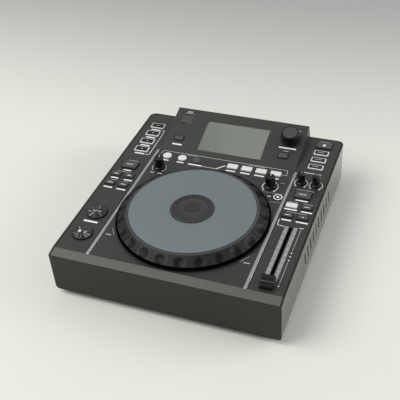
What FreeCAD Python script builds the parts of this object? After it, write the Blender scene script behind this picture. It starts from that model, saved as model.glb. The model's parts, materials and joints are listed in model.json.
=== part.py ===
import FreeCAD, Part
import math
import os

# Tabletop DJ disc player. Millimetres, +Z up, +Y towards the back, +X to the right.
# The origin is under the middle of the whole object, on the surface it stands on.

# Body
width = 300.0
depth = 332.0
body_height = 61.0
foot_height = 8.0
jack_projection = 8.5
case_wall = 2.2
floor_thickness = 2.5
cover_thickness = 2.5
cover_seam = 0.4
cover_front_edge = 1.2
chamfer_run = 12.8
chamfer_drop = 2.4
rear_corner_radius = 9.0
bottom_edge_radius = 5.5
ledge_depth = 2.0
ledge_height = 3.0
touch_gap = 0.3
overcut = 1.0

# Derived places that most pieces share
front_y = -(depth + jack_projection) / 2
rear_y = front_y + depth
half_width = width / 2
case_bottom = foot_height
floor_top = case_bottom + floor_thickness
deck_top = case_bottom + body_height
cover_underside = deck_top - cover_thickness

# Side vents
vent_count = 10
vent_pitch = 14.2
vent_first = depth - 96.0
vent_length = 24.0
vent_width = 3.4
vent_slant = 14.0
vent_height = 35.0

# Case screws, their bosses and the feet
boss_radius = 3.5
boss_inset = 6.0
screw_radius = 1.2
screw_clearance = 0.2
screw_head_radius = 2.6
screw_head_height = 2.0
screw_bite = 8.0
screw_recess = 20.0
cover_boss_length = 12.0
corner_boss_from_edge = 11.0
middle_boss_from_front = 131.0
front_boss_x = 60.0
foot_x = half_width - 25.0
foot_from_end = 30.0
foot_top_radius = 11.0
foot_bottom_radius = 9.5
foot_bore_radius = 1.8
foot_recess_radius = 4.0
foot_recess_depth = 3.5
foot_screw_length = 9.0

# Silver trim strips
strip_x = 102.2
strip_width = 4.0
strip_from_front = 12.9
strip_panel_gap = 3.3
strip_rise = 0.3
strip_groove_depth = 1.0
strip_groove_gap = 1.2

# Display panel: a tilted shell on the deck
panel_half_width = 99.8
panel_tilt = 15.5
panel_length = 81.9
panel_rear_gap = 0.2
panel_from_front = depth - panel_rear_gap - panel_length / math.cos(math.radians(panel_tilt))
panel_drop = 40.0
panel_wall = 2.5
panel_opening_margin = 7.8
panel_opening_front = 3.2
panel_opening_rear = 1.8
screen_width = 94.6
screen_height = 55.0
screen_up_slope = 36.1
window_clearance = 0.15
window_corner = 0.5
module_width = 105.5
module_height = 62.0
module_thickness = 4.0

# Memory-stick flap and its socket
flap_x = 19.9 - panel_half_width
flap_up_slope = 62.2
flap_width = 18.1
flap_length = 16.0
flap_thickness = 1.8
flap_recess_gap = 0.3
flap_below_surface = 0.2
flap_floor_gap = 0.3
flap_pin_radius = 0.6
flap_pin_clearance = 0.05
flap_pin_length = 1.2
flap_notch_radius = 3.5
block_margin = 2.0
block_depth = 16.3
socket_width = 13.1
socket_depth = 5.7
socket_shell = 0.4
socket_clearance = 0.15
socket_tongue_width = 11.0
socket_tongue_thickness = 1.8
socket_tongue_gap = 0.5
socket_board_thickness = 1.6

# The row of buttons between the jog wheel and the panel
middle_panel_gap = 14.8
middle_from_front = panel_from_front - middle_panel_gap

# Jog wheel, heights measured above the deck
jog_radius = 100.3
jog_row_gap = 17.2
jog_from_front = middle_from_front - jog_row_gap - jog_radius
jog_floor_gap = 1.0
jog_band_height = 3.0
jog_edge_bevel = 1.3
jog_cone_width = 13.9
jog_cone_inner_radius = jog_radius - jog_cone_width
jog_cone_top = 13.4
jog_rim_radius = jog_cone_inner_radius - 1.4
jog_rim_height = 14.0
jog_rim_inner_radius = jog_rim_radius - 2.4
jog_wall = 2.6
jog_shelf_width = 12.6
jog_shelf_inner_radius = jog_rim_inner_radius - jog_shelf_width
jog_shelf_thickness = 2.5
jog_plate_gap = 0.3
jog_plate_radius = jog_rim_inner_radius - jog_plate_gap
jog_plate_top = 15.0
jog_plate_thickness = 3.5
jog_plate_bevel = 0.5
dimple_count = 24
dimple_first_angle = -94.6
dimple_radius = 11.0
dimple_depth = 1.5
dimple_circle = jog_radius - 7.3
jog_cap_radius = 28.2
jog_cap_rise = 1.0
jog_cap_gap = 0.3
hub_disc_radius = jog_shelf_inner_radius - 4.0
hub_disc_thickness = 2.5
hub_boss_radius = 10.0
hub_boss_height = 3.0
spindle_radius = 4.0
spindle_clearance = 0.05
bush_radius = 9.0
bush_length = 19.2
bearing_plate_half = 40.0
bearing_plate_thickness = 2.0
bearing_corner_radius = 6.0
encoder_disc_radius = 30.0
encoder_disc_thickness = 0.8
encoder_collar_radius = 6.0
encoder_collar_height = 3.0
encoder_slot_count = 24
encoder_slot_width = 1.2
encoder_slot_length = 4.0
encoder_slot_edge = 1.0
fork_width = 10.0
fork_length = 12.0
fork_overlap = 5.0
fork_gap = 1.0
fork_arm = 2.0

# Pitch fader
fader_x = half_width - 24.6
fader_travel = 100.0
fader_middle = 78.0
fader_slot_width = 4.0
fader_slot_end_gap = 0.4
fader_cap_width = 16.0
fader_cap_front = 10.5
fader_cap_back = 7.5
fader_cap_height = 12.3
fader_step_height = 6.2
fader_valley_height = 5.2
fader_ridge_front = -1.5
fader_ridge_back = 3.5
fader_edge = 0.5
fader_lip = 1.8
fader_dip = 1.0
fader_ridge_foot = 2.0
fader_deck_gap = 0.8
tang_thickness = 1.6
tang_length = 6.0
carriage_width = 8.0
carriage_length = 12.0
carriage_height = 7.0
fader_body_width = 12.0
fader_body_wall = 1.5
fader_body_height = 13.5
fader_body_spare = 5.0
fader_body_slot = 3.2
guide_rod_radius = 1.0
guide_rod_spread = 2.4
guide_rod_clearance = 0.05

# Buttons: all share the same stack of flange, stem, switch and board
button_travel = 0.8
button_side_gap = 0.3
button_flange = 1.2
button_flange_thickness = 1.2
button_stem_radius = 1.8
button_stem_length = 3.0
button_edge_radius = 0.5
slab_corner_share = 0.12
switch_gap = 0.2
switch_stem_radius = 1.6
switch_stem_height = 1.5
switch_size = 6.0
switch_height = 3.0
board_thickness = 1.6
frame_rise = 0.9
frame_width = 1.4
post_radius = 2.2

left_x = 23.8 - half_width
outlined_width = 20.6
outlined_depth = 12.1
left_outlined_first = depth - 32.4
left_outlined_gap = 0.16
left_outlined_count = 4
large_width = 22.7
large_depth = 15.5
large_from_front = 196.5
large_rise = 2.0
left_large_x = 24.0 - half_width
small_width = 15.0
small_depth = 8.6
small_rise = 1.5
small_rows = (172.8, 152.2)
left_small_x = (13.6 - half_width, 33.0 - half_width)
round_x = 24.8 - half_width
round_from_front = (89.0, 46.5)
round_radius = 13.7
round_rise = 3.2
round_dome = 1.2
right_x = half_width - 24.9
eject_from_front = depth - 17.9
eject_width = 23.5
eject_depth = 15.0
right_outlined_first = depth - 36.4
right_outlined_pitch = 16.9
right_outlined_count = 3
right_outlined_depth = 10.4
right_large_x = half_width - 25.8
right_small_x = (half_width - 34.9, half_width - 15.0)
lit_round_x = (-83.6, -60.8)
lit_round_radius = 6.15
dark_round_x = -38.8
dark_round_radius = 6.4
middle_round_rise = 1.8
pad_first_x = 14.5
pad_pitch = 20.7
pad_count = 4
pad_width = 14.9
pad_depth = 9.3
ring_button_x = 93.5
ring_button_rim_gap = 15.6
panel_left_button_x = 19.9 - panel_half_width
panel_left_button_up = 23.7
panel_left_button_width = 14.7
panel_left_button_depth = 8.9
panel_right_button_x = panel_half_width - 22.9
panel_right_button_up = 22.2
panel_right_button_width = 14.6
panel_right_button_depth = 10.5

# Knobs and their potentiometers
knob_deck_gap = 0.8
pot_size = 10.0
encoder_size = 12.0
pot_height = 6.0
pot_bush_radius = 3.2
pot_bush_below_surface = 0.5
pot_hole_gap = 0.3
pot_shaft_radius = 2.5
pot_shaft_clearance = 0.05
pot_bore_depth = 4.0
pot_shaft_gap = 0.3
tall_skirt_radius = 8.0
tall_body_radius = 6.9
tall_top_radius = 6.5
tall_height = 16.8
short_skirt_radius = 6.7
short_body_radius = 5.2
short_top_radius = 4.9
short_height = 15.2
knob_skirt_height = 2.4
knob_top_bevel = 0.6
knob_socket_depth = 9.0
left_knob_x = -84.0
left_knob_rim_gap = 21.7
right_knob_x = 77.2
right_knob_rim_gap = 17.7
inner_trim_x = half_width - 35.2
outer_trim_x = half_width - 15.0
trim_knob_share = 0.347
browse_x = panel_half_width - 19.8
browse_up_slope = 52.5
browse_neck_radius = 11.2
browse_neck_height = 2.0
browse_grip_radius = 14.0
browse_top_radius = 11.6
browse_height = 16.2
browse_travel = 0.5
browse_shaft_radius = 3.0
browse_hole_radius = 4.2
browse_stack = 5.5
browse_edge = 0.8
browse_grip_share = 0.66

# Boards under the deck, as distances from the middle line and the front edge
left_board_x = (9.8 - half_width, 43.0 - half_width)
left_board_y = (30.0, depth - 15.0)
right_board_x = (half_width - 43.0, half_width - 9.8)
right_board_y = (145.0, depth - 7.0)
middle_board_x = (-96.0, 103.0)
middle_board_behind = 11.0
middle_board_before = 12.0
front_post_from_end = 36.0
rear_post_from_end = 8.0
right_post_from_end = 12.0
middle_post_x = -12.0
wheel_post_x = (-30.0, 60.0)
panel_board_half = panel_half_width - 11.8
panel_board_up = (13.0, 75.0)
panel_post_x = 62.0

# Fixed things on the floor
standoff_radius = 3.0
standoff_height = 6.0
main_board_x = (-45.0, half_width - 18.0)
main_board_y = (105.0, depth - 32.0)
main_board_inset = 6.0
chip_height = 2.5
large_chip = 26.0
middle_chip = 18.0
small_chip = 15.0
chip_x = (20.0, 65.0, 100.0)
chip_from_end = (110.0, 60.0)
header_height = 5.0
header_spare = 2.0
header_from_end = 8.0
ribbon_width = 20.0
ribbon_thickness = 0.8
right_ribbon_from_end = (10.0, 35.0)
middle_ribbon_x = 40.0
middle_ribbon_before = 27.0
left_ribbon_from_front = 125.0
supply_x = (12.0 - half_width, -52.0)
supply_y = (depth - 172.0, depth - 40.0)
supply_height = 34.0
supply_wall = 1.0
transformer_width = 34.0
transformer_length = 30.0
transformer_height = 26.0
transformer_from_end = 40.0
capacitor_radius = 9.0
capacitor_height = 24.0
capacitor_from_end = 42.0

# Rear panel and its connectors
rear_opening_half = 115.0
rear_opening_bottom = 18.0
rear_opening_top = 58.0
rear_plate_margin = 5.0
rear_plate_thickness = 1.5
connector_z = 38.0
inlet_x = -92.0
inlet_width = 27.4
inlet_height = 20.0
inlet_depth = 24.0
inlet_flange = 2.0
inlet_flange_thickness = 2.0
inlet_mouth_width = 23.8
inlet_mouth_height = 15.6
inlet_mouth_depth = 16.0
inlet_pin_pitch = 7.0
inlet_pin_width = 2.0
inlet_pin_height = 4.0
inlet_pin_drop = 1.5
inlet_pin_rise = 2.5
rocker_x = -60.0
rocker_frame_width = 15.0
rocker_frame_height = 21.0
rocker_frame_flange = 1.5
rocker_frame_depth = 14.0
rocker_frame_back = 2.0
rocker_width = 9.4
rocker_radius = 8.0
rocker_gap = 0.3
rocker_pivot_depth = 3.0
rocker_face = 5.0
rocker_face_slope = 0.2
rocker_back = 3.0
rocker_pin_radius = 1.0
rocker_pin_length = 1.5
rocker_pin_clearance = 0.05
rocker_tilt = 9.0
network_x = -20.0
network_width = 16.0
network_height = 13.5
network_depth = 21.0
network_mouth_width = 12.0
network_mouth_height = 8.2
network_mouth_depth = 12.0
coax_x = (18.0, 46.0, 64.0)
coax_body = 12.0
coax_depth = 14.0
coax_radius = 4.2
coax_bore = 1.8
coax_bore_depth = 10.0
mini_x = 94.0
mini_body = 10.0
mini_radius = 3.2
mini_bore = 1.8
mini_rise = 1.5
plate_hole_gap = 0.3
jack_board_x = (-30.0, 102.0)
jack_board_length = 24.0
rear_screw_radius = 1.3
rear_screw_head = 2.6
rear_screw_head_height = 1.3
rear_screw_length = 8.0

nodes = {}


def from_front(distance):
    """Y of a place that is so far from the front edge."""
    return front_y + distance


def beside_wheel(x, gap):
    """Distance from the front of a place behind the jog wheel's rim, at a gap from it."""
    return jog_from_front + math.sqrt((jog_radius + gap) ** 2 - x ** 2)


def box(x0, x1, y0, y1, z0, z1):
    """Block between two corners."""
    return Part.makeBox(x1 - x0, y1 - y0, z1 - z0, FreeCAD.Vector(x0, y0, z0))


def centred_box(x, y, size_x, size_y, z0, z1):
    """Block centred on a point in plan."""
    return box(x - size_x / 2, x + size_x / 2, y - size_y / 2, y + size_y / 2, z0, z1)


def disc(x, y, radius, z0, z1):
    """Upright cylinder between two heights."""
    return Part.makeCylinder(radius, z1 - z0, FreeCAD.Vector(x, y, z0))


def rounded_box(x, y, size_x, size_y, z0, z1, radius):
    """Upright block whose four corners are round in plan."""
    half_x = size_x / 2
    half_y = size_y / 2
    block = centred_box(x, y, size_x - 2 * radius, size_y, z0, z1)
    block = block.fuse(centred_box(x, y, size_x, size_y - 2 * radius, z0, z1))
    for side_x in (-1, 1):
        for side_y in (-1, 1):
            corner_x = x + side_x * (half_x - radius)
            corner_y = y + side_y * (half_y - radius)
            block = block.fuse(disc(corner_x, corner_y, radius, z0, z1))
    return block.removeSplitter()


def turned(profile, x=0.0, y=0.0, z=0.0):
    """Solid turned about an upright axis from (radius, height) points."""
    points = [FreeCAD.Vector(radius, 0, height) for radius, height in profile]
    wire = Part.makePolygon(points + [points[0]])
    solid = Part.Face(wire).revolve(FreeCAD.Vector(0, 0, 0), FreeCAD.Vector(0, 0, 1), 360)
    solid = Part.Solid(solid.Shells[0]) if solid.ShapeType != "Solid" else solid
    return solid.translated(FreeCAD.Vector(x, y, z))


def side_prism(profile, x0, x1):
    """Solid with a (y, z) outline that runs along X."""
    points = [FreeCAD.Vector(x0, y, z) for y, z in profile]
    face = Part.Face(Part.makePolygon(points + [points[0]]))
    return face.extrude(FreeCAD.Vector(x1 - x0, 0, 0))


def joined(shapes):
    """Several touching shapes as one solid."""
    first = shapes[0]
    return first.fuse(shapes[1:]).removeSplitter() if len(shapes) > 1 else first


def on_panel(shape):
    """Move a shape drawn flat, y up the slope and z out of it, onto the tilted panel."""
    placed = shape.rotated(FreeCAD.Vector(0, 0, 0), FreeCAD.Vector(1, 0, 0), panel_tilt)
    return placed.translated(FreeCAD.Vector(0, from_front(panel_from_front), deck_top))


def on_deck(shape):
    """Move a shape drawn with z = 0 on the deck's surface to its height."""
    return shape.translated(FreeCAD.Vector(0, 0, deck_top))


def softened_top(shape, z, radius):
    """Round the edges that lie at one height."""
    edges = [e for e in shape.Edges if abs(e.BoundBox.ZMin - z) < 1e-4 and abs(e.BoundBox.ZMax - z) < 1e-4]
    return shape.makeFillet(radius, edges)


def save(name, *solids):
    """Keep the solids of one node for writing."""
    nodes[name] = solids


# Places along the two control strips, as distances from the front
def left_outlined_pitch():
    """Pitch of the left outlined buttons, which share the room behind the large button."""
    room = left_outlined_first - outlined_depth / 2 - large_from_front - large_depth / 2
    spare = room - (left_outlined_count - 1) * outlined_depth
    return outlined_depth + left_outlined_gap * spare


def trim_knob_from_front():
    """The trim knobs stand between the large button and the outlined ones."""
    behind_large = large_from_front + large_depth / 2
    last = right_outlined_first - (right_outlined_count - 1) * right_outlined_pitch
    before_outlined = last - right_outlined_depth / 2
    return behind_large + trim_knob_share * (before_outlined - behind_large)


def ring_button_from_front():
    """The ring-marked button stands beside the wheel's rim."""
    return beside_wheel(ring_button_x, ring_button_rim_gap)


def middle_board_y():
    """Front and rear end of the board behind the wheel."""
    return ring_button_from_front() - middle_board_before, middle_from_front + middle_board_behind


# Buttons: name, shape, surface, place and size of each one
def button_list():
    """Every button, with its place as (x, distance up its own surface)."""
    buttons = []

    def add(name, kind, surface, x, y, size_x, size_y, rise):
        buttons.append(dict(name=name, kind=kind, surface=surface, x=x, y=y,
                            size_x=size_x, size_y=size_y, rise=rise))

    for i in range(left_outlined_count):
        y = from_front(left_outlined_first - i * left_outlined_pitch())
        add(f"cue_point_button_{i + 1}", "outlined", "deck", left_x, y,
            outlined_width, outlined_depth, small_rise)
    add("left_large_button", "slab", "deck", left_large_x, from_front(large_from_front),
        large_width, large_depth, large_rise)
    for row, distance in enumerate(small_rows):
        for column in range(2):
            number = 2 * row + column + 1
            add(f"left_small_button_{number}", "slab", "deck", left_small_x[column],
                from_front(distance), small_width, small_depth, small_rise)
            add(f"right_small_button_{number}", "slab", "deck", right_small_x[column],
                from_front(distance), small_width, small_depth, small_rise)
    for name, distance in zip(("cue_button", "play_button"), round_from_front):
        add(name, "dome", "deck", round_x, from_front(distance),
            2 * round_radius, 2 * round_radius, round_rise)
    add("eject_button", "slab", "deck", right_x, from_front(eject_from_front),
        eject_width, eject_depth, small_rise)
    for i in range(right_outlined_count):
        y = from_front(right_outlined_first - i * right_outlined_pitch)
        add(f"mode_button_{i + 1}", "outlined", "deck", right_x, y,
            outlined_width, right_outlined_depth, small_rise)
    add("right_large_button", "slab", "deck", right_large_x, from_front(large_from_front),
        large_width, large_depth, large_rise)
    for i, x in enumerate(lit_round_x):
        add(f"loop_button_{i + 1}", "round", "deck", x, from_front(middle_from_front),
            2 * lit_round_radius, 2 * lit_round_radius, middle_round_rise)
    add("loop_button_3", "round", "deck", dark_round_x, from_front(middle_from_front),
        2 * dark_round_radius, 2 * dark_round_radius, middle_round_rise)
    for i in range(pad_count):
        add(f"pad_button_{i + 1}", "slab", "deck", pad_first_x + i * pad_pitch,
            from_front(middle_from_front), pad_width, pad_depth, middle_round_rise)
    add("ring_button", "round", "deck", ring_button_x, from_front(ring_button_from_front()),
        2 * lit_round_radius, 2 * lit_round_radius, small_rise)
    add("panel_left_button", "slab", "panel", panel_left_button_x, panel_left_button_up,
        panel_left_button_width, panel_left_button_depth, small_rise)
    add("panel_right_button", "slab", "panel", panel_right_button_x, panel_right_button_up,
        panel_right_button_width, panel_right_button_depth, small_rise)
    return buttons


def stack_heights():
    """Heights below a surface of the flange, stem, switch and board."""
    flange_top = -cover_thickness - touch_gap
    flange_bottom = flange_top - button_flange_thickness
    stem_bottom = flange_bottom - button_stem_length
    switch_tip = stem_bottom - button_travel - switch_gap
    switch_top = switch_tip - switch_stem_height
    board_top = switch_top - switch_height
    return flange_top, flange_bottom, stem_bottom, switch_tip, switch_top, board_top


def is_round(button):
    """Whether the button and its hole are round."""
    return button["kind"] in ("round", "dome")


def slab_corner(button):
    """Corner radius of a rectangular button in plan."""
    return slab_corner_share * button["size_y"]


def outline(button, margin, z0, z1):
    """The button's plan, grown by a margin, between two heights."""
    if is_round(button):
        return disc(button["x"], button["y"], button["size_x"] / 2 + margin, z0, z1)
    radius = slab_corner(button) + max(margin, 0)
    return rounded_box(button["x"], button["y"], button["size_x"] + 2 * margin,
                       button["size_y"] + 2 * margin, z0, z1, radius)


def button_cap(button):
    """One button: cap, retaining flange and the stem that presses its switch."""
    flange_top, flange_bottom, stem_bottom = stack_heights()[:3]
    rise = button["rise"]
    if button["kind"] == "outlined":
        cap = outline(button, 0, flange_bottom, frame_rise)
        cap = softened_top(cap, frame_rise, button_edge_radius / 2)
        top = softened_top(outline(button, -frame_width, flange_bottom, rise), rise, button_edge_radius)
        cap = cap.fuse(top)
    elif button["kind"] == "dome":
        cap = outline(button, 0, flange_bottom, rise - round_dome)
        radius = button["size_x"] / 2
        sphere_radius = (radius ** 2 + round_dome ** 2) / (2 * round_dome)
        centre = FreeCAD.Vector(button["x"], button["y"], rise - sphere_radius)
        bowl = Part.makeSphere(sphere_radius, centre)
        cap = outline(button, 0, flange_bottom, rise).common(bowl)
    else:
        cap = softened_top(outline(button, 0, flange_bottom, rise), rise, button_edge_radius)
    flange = outline(button, button_flange, flange_bottom, flange_top)
    stem = disc(button["x"], button["y"], button_stem_radius, stem_bottom, flange_bottom + overcut / 2)
    return cap.fuse([flange, stem]).removeSplitter()


def button_hole(button):
    """The hole that a button needs in its cover."""
    return outline(button, button_side_gap, -cover_thickness - overcut, overcut)


def switch_under(button):
    """The switch body and its plunger under one button."""
    switch_tip, switch_top, board_top = stack_heights()[3:]
    body = centred_box(button["x"], button["y"], switch_size, switch_size, board_top, switch_top)
    return body.fuse(disc(button["x"], button["y"], switch_stem_radius, switch_top, switch_tip))


# Knobs
def knob_list():
    """Every potentiometer knob: name, x, y and its radii and height."""
    tall = (tall_skirt_radius, tall_body_radius, tall_top_radius, tall_height)
    short = (short_skirt_radius, short_body_radius, short_top_radius, short_height)
    trim_y = from_front(trim_knob_from_front())
    left_y = from_front(beside_wheel(left_knob_x, left_knob_rim_gap))
    right_y = from_front(beside_wheel(right_knob_x, right_knob_rim_gap))
    return [("left_knob", left_knob_x, left_y, tall),
            ("right_knob", right_knob_x, right_y, tall),
            ("inner_trim_knob", inner_trim_x, trim_y, short),
            ("outer_trim_knob", outer_trim_x, trim_y, short)]


def pot_heights():
    """Heights below the deck of the pot body's top and its bore's end."""
    board_top = stack_heights()[5]
    body_top = board_top + pot_height
    return board_top, body_top, body_top - pot_bore_depth


def knob(x, y, radii):
    """One knob and, inside it, the metal shaft that it turns."""
    skirt_radius, body_radius, top_radius, height = radii
    bottom = knob_deck_gap
    top = bottom + height
    skirt_top = bottom + knob_skirt_height
    grip = turned([(0, bottom), (skirt_radius, bottom), (skirt_radius, skirt_top - knob_top_bevel),
                   (skirt_radius - knob_top_bevel, skirt_top), (body_radius, skirt_top),
                   (top_radius, top - knob_top_bevel), (top_radius - knob_top_bevel, top), (0, top)],
                  x, y)
    socket_top = bottom + knob_socket_depth
    grip = grip.cut(disc(x, y, pot_shaft_radius, bottom - overcut, socket_top))
    shaft_bottom = pot_heights()[2] + pot_shaft_gap
    shaft = disc(x, y, pot_shaft_radius, shaft_bottom, socket_top)
    return on_deck(grip), on_deck(shaft)


def potentiometer(x, y):
    """A potentiometer's body and the threaded bush that its shaft turns in."""
    board_top, body_top, bore_end = pot_heights()
    body = centred_box(x, y, pot_size, pot_size, board_top, body_top)
    body = body.fuse(disc(x, y, pot_bush_radius, body_top, -pot_bush_below_surface))
    bore = pot_shaft_radius + pot_shaft_clearance
    return body.cut(disc(x, y, bore, bore_end, overcut))


def browse_heights():
    """Heights out of the panel of the encoder body's top and of the shaft's end."""
    board_top = stack_heights()[5]
    return board_top, board_top + browse_stack


def browse_shaft():
    """The shaft that the browse knob turns on and pushes in."""
    body_top = browse_heights()[1]
    shaft_bottom = body_top - pot_bore_depth + browse_travel + pot_shaft_gap
    shaft_top = browse_height - browse_neck_height
    return on_panel(disc(browse_x, browse_up_slope, browse_shaft_radius, shaft_bottom, shaft_top))


def browse_knob():
    """The large knob: a neck, a flared grip and a bevelled top, bored for its shaft."""
    bottom = browse_travel + pot_shaft_gap
    neck_top = bottom + browse_neck_height
    grip = turned([(0, bottom), (browse_neck_radius, bottom), (browse_neck_radius, neck_top),
                   (browse_grip_radius - browse_edge, neck_top),
                   (browse_grip_radius, neck_top + browse_edge),
                   (browse_grip_radius - browse_edge, browse_grip_share * browse_height),
                   (browse_top_radius + browse_edge / 2, browse_height - browse_edge),
                   (browse_top_radius, browse_height), (0, browse_height)],
                  browse_x, browse_up_slope)
    bore = browse_shaft_radius + pot_shaft_clearance
    bore_top = browse_height - browse_neck_height + pot_shaft_clearance
    grip = grip.cut(disc(browse_x, browse_up_slope, bore, 0, bore_top))
    return on_panel(grip)


def browse_encoder():
    """The encoder's body and bush under the panel, bored for the shaft."""
    board_top, body_top = browse_heights()
    body = centred_box(browse_x, browse_up_slope, encoder_size, encoder_size, board_top, body_top)
    body = body.fuse(disc(browse_x, browse_up_slope, browse_hole_radius - pot_hole_gap,
                          body_top, -pot_bush_below_surface))
    bore = browse_shaft_radius + pot_shaft_clearance
    bore_end = body_top - pot_bore_depth
    return body.cut(disc(browse_x, browse_up_slope, bore, bore_end, overcut))


# Case
def case_outline(inset, z_floor, z_spare):
    """The body's outer form, or the form of its hollow when inset by the wall."""
    x = half_width - inset
    front = front_y + inset
    rear = rear_y - inset
    corner = rear_corner_radius - inset
    edge = bottom_edge_radius - inset
    top = deck_top + z_spare
    slope = side_prism([(front, z_floor), (rear, z_floor), (rear, top), (front_y + chamfer_run, top),
                        (front, top - (0 if z_spare else chamfer_drop))], -x, x)
    plan = joined([box(-x, x, front, rear - corner, z_floor, top),
                   box(-x + corner, x - corner, front, rear, z_floor, top),
                   disc(-x + corner, rear - corner, corner, z_floor, top),
                   disc(x - corner, rear - corner, corner, z_floor, top)])
    length = rear - front
    lower = [box(-x + edge, x - edge, front, rear, z_floor, top),
             box(-x, x, front, rear, z_floor + edge, top)]
    for side in (-1, 1):
        start = FreeCAD.Vector(side * (x - edge), front, z_floor + edge)
        lower.append(Part.makeCylinder(edge, length, start, FreeCAD.Vector(0, 1, 0)))
    return slope.common(plan).common(joined(lower))


def case_boss_places():
    """Plan of the screws that hold the cover to the case."""
    x = half_width - boss_inset
    places = []
    for side in (-1, 1):
        places.append((side * x, from_front(corner_boss_from_edge)))
        places.append((side * x, from_front(middle_boss_from_front)))
        places.append((side * x, from_front(depth - corner_boss_from_edge)))
        places.append((side * front_boss_x, from_front(corner_boss_from_edge)))
    return places


def foot_places():
    """Plan of the four feet."""
    ends = (from_front(foot_from_end), from_front(depth - foot_from_end))
    return [(side * foot_x, y) for side in (-1, 1) for y in ends]


def main_board_corners():
    """Plan of the posts that carry the main board."""
    xs = (main_board_x[0] + main_board_inset, main_board_x[1] - main_board_inset)
    ys = (from_front(main_board_y[0] + main_board_inset), from_front(main_board_y[1] - main_board_inset))
    return [(x, y) for x in xs for y in ys]


def side_vents():
    """The slanted slots of both side walls."""
    cutters = []
    for side in (-1, 1):
        x0 = half_width - 2 * case_wall if side > 0 else -half_width - overcut
        x1 = half_width + overcut if side > 0 else -half_width + 2 * case_wall
        for i in range(vent_count):
            y = from_front(vent_first - i * vent_pitch)
            z = case_bottom + vent_height
            half = (vent_length - vent_width) / 2
            slot = [box(x0, x1, y - vent_width / 2, y + vent_width / 2, z - half, z + half)]
            for end in (-half, half):
                start = FreeCAD.Vector(x0, y, z + end)
                slot.append(Part.makeCylinder(vent_width / 2, x1 - x0, start, FreeCAD.Vector(1, 0, 0)))
            centre = FreeCAD.Vector(0, y, z)
            cutters.append(joined(slot).rotated(centre, FreeCAD.Vector(1, 0, 0), vent_slant))
    return cutters


def cover_screw_join():
    """Height where a case boss meets the boss that hangs from the cover."""
    return cover_underside - cover_boss_length


def make_lower_case():
    """The tray: floor, four walls, vents, ledges, screw bosses and board posts."""
    shell = case_outline(0, case_bottom, 0).cut(case_outline(case_wall, floor_top, 2 * overcut))
    inner_x = half_width - case_wall
    front_top = deck_top - chamfer_drop - cover_front_edge - cover_seam
    shell = shell.cut(box(-inner_x, inner_x, front_y - overcut, front_y + case_wall + overcut,
                          front_top, deck_top + overcut))
    additions = []
    for side in (-1, 1):
        x0, x1 = sorted((side * inner_x, side * (inner_x - ledge_depth)))
        ledge_front = from_front(chamfer_run + corner_boss_from_edge)
        ledge_rear = from_front(depth - 2 * corner_boss_from_edge)
        ledge = box(x0, x1, ledge_front, ledge_rear, cover_underside - ledge_height, cover_underside)
        clear = [disc(x, y, boss_radius + touch_gap, 0, deck_top) for x, y in case_boss_places()]
        additions.append(ledge.cut(clear))
    boss_top = cover_screw_join()
    for x, y in case_boss_places():
        additions.append(disc(x, y, boss_radius, case_bottom + overcut, boss_top))
    for x, y in foot_places() + main_board_corners():
        additions.append(disc(x, y, standoff_radius, case_bottom + overcut, floor_top + standoff_height))
    shell = shell.fuse(additions)
    cutters = side_vents()
    for x, y in case_boss_places():
        bore = screw_radius + screw_clearance
        cutters.append(disc(x, y, bore, case_bottom - overcut, boss_top + overcut))
        cutters.append(disc(x, y, screw_head_radius + screw_clearance, case_bottom - overcut,
                            case_bottom + screw_recess))
    for x, y in foot_places():
        cutters.append(disc(x, y, screw_radius + screw_clearance, case_bottom - overcut,
                            floor_top + standoff_height - overcut))
    cutters.append(box(-rear_opening_half, rear_opening_half, rear_y - 2 * case_wall, rear_y + overcut,
                       rear_opening_bottom, rear_opening_top))
    for x, z in rear_screw_places():
        cutters.append(rear_rod(x, z, rear_screw_radius + screw_clearance, rear_y - 2 * case_wall,
                                rear_y + overcut))
    return shell.cut(cutters).removeSplitter()


def rear_screw_places():
    """Where the rear plate's screws go, as (x, z)."""
    x = rear_opening_half - rear_plate_margin
    low = rear_opening_bottom - rear_plate_margin / 2 - overcut / 2
    high = rear_opening_top + rear_plate_margin / 2 + overcut / 2
    return [(side * x, z) for side in (-1, 1) for z in (low, high)]


def rear_rod(x, z, radius, y0, y1):
    """Cylinder that runs from front to back."""
    return Part.makeCylinder(radius, y1 - y0, FreeCAD.Vector(x, y0, z), FreeCAD.Vector(0, 1, 0))


def strip_block(margin_out, z0, z1, side):
    """The space of one trim strip, with more room on its outer side."""
    inner = strip_x - strip_width / 2
    outer = strip_x + strip_width / 2 + margin_out
    x0, x1 = sorted((side * inner, side * outer))
    strip_end = from_front(panel_from_front - strip_panel_gap)
    return box(x0, x1, from_front(strip_from_front), strip_end, z0, z1)


def make_trim_strips():
    """Two silver strips that lie in the deck's grooves."""
    return [on_deck(strip_block(0, -strip_groove_depth, strip_rise, side)) for side in (-1, 1)]


def board_post_places():
    """Plan of the posts that carry the boards under the deck."""
    left_inner = left_board_x[1] - post_radius - touch_gap
    right_inner = right_board_x[0] + post_radius + touch_gap
    left_outer = left_board_x[0] + post_radius + touch_gap
    behind_rows = from_front(small_rows[0] + small_depth / 2 + button_flange + post_radius + touch_gap)
    left_front = from_front(left_board_y[0] + front_post_from_end)
    wheel_y = from_front(middle_board_y()[0] + rear_post_from_end)
    places = [(left_inner, from_front(left_board_y[1] - rear_post_from_end)), (left_inner, behind_rows),
              (left_inner, left_front), (left_outer, left_front),
              (right_inner, from_front(right_board_y[1] - right_post_from_end)), (right_inner, behind_rows),
              (middle_post_x, from_front(middle_from_front))]
    return places + [(x, wheel_y) for x in wheel_post_x]


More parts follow.
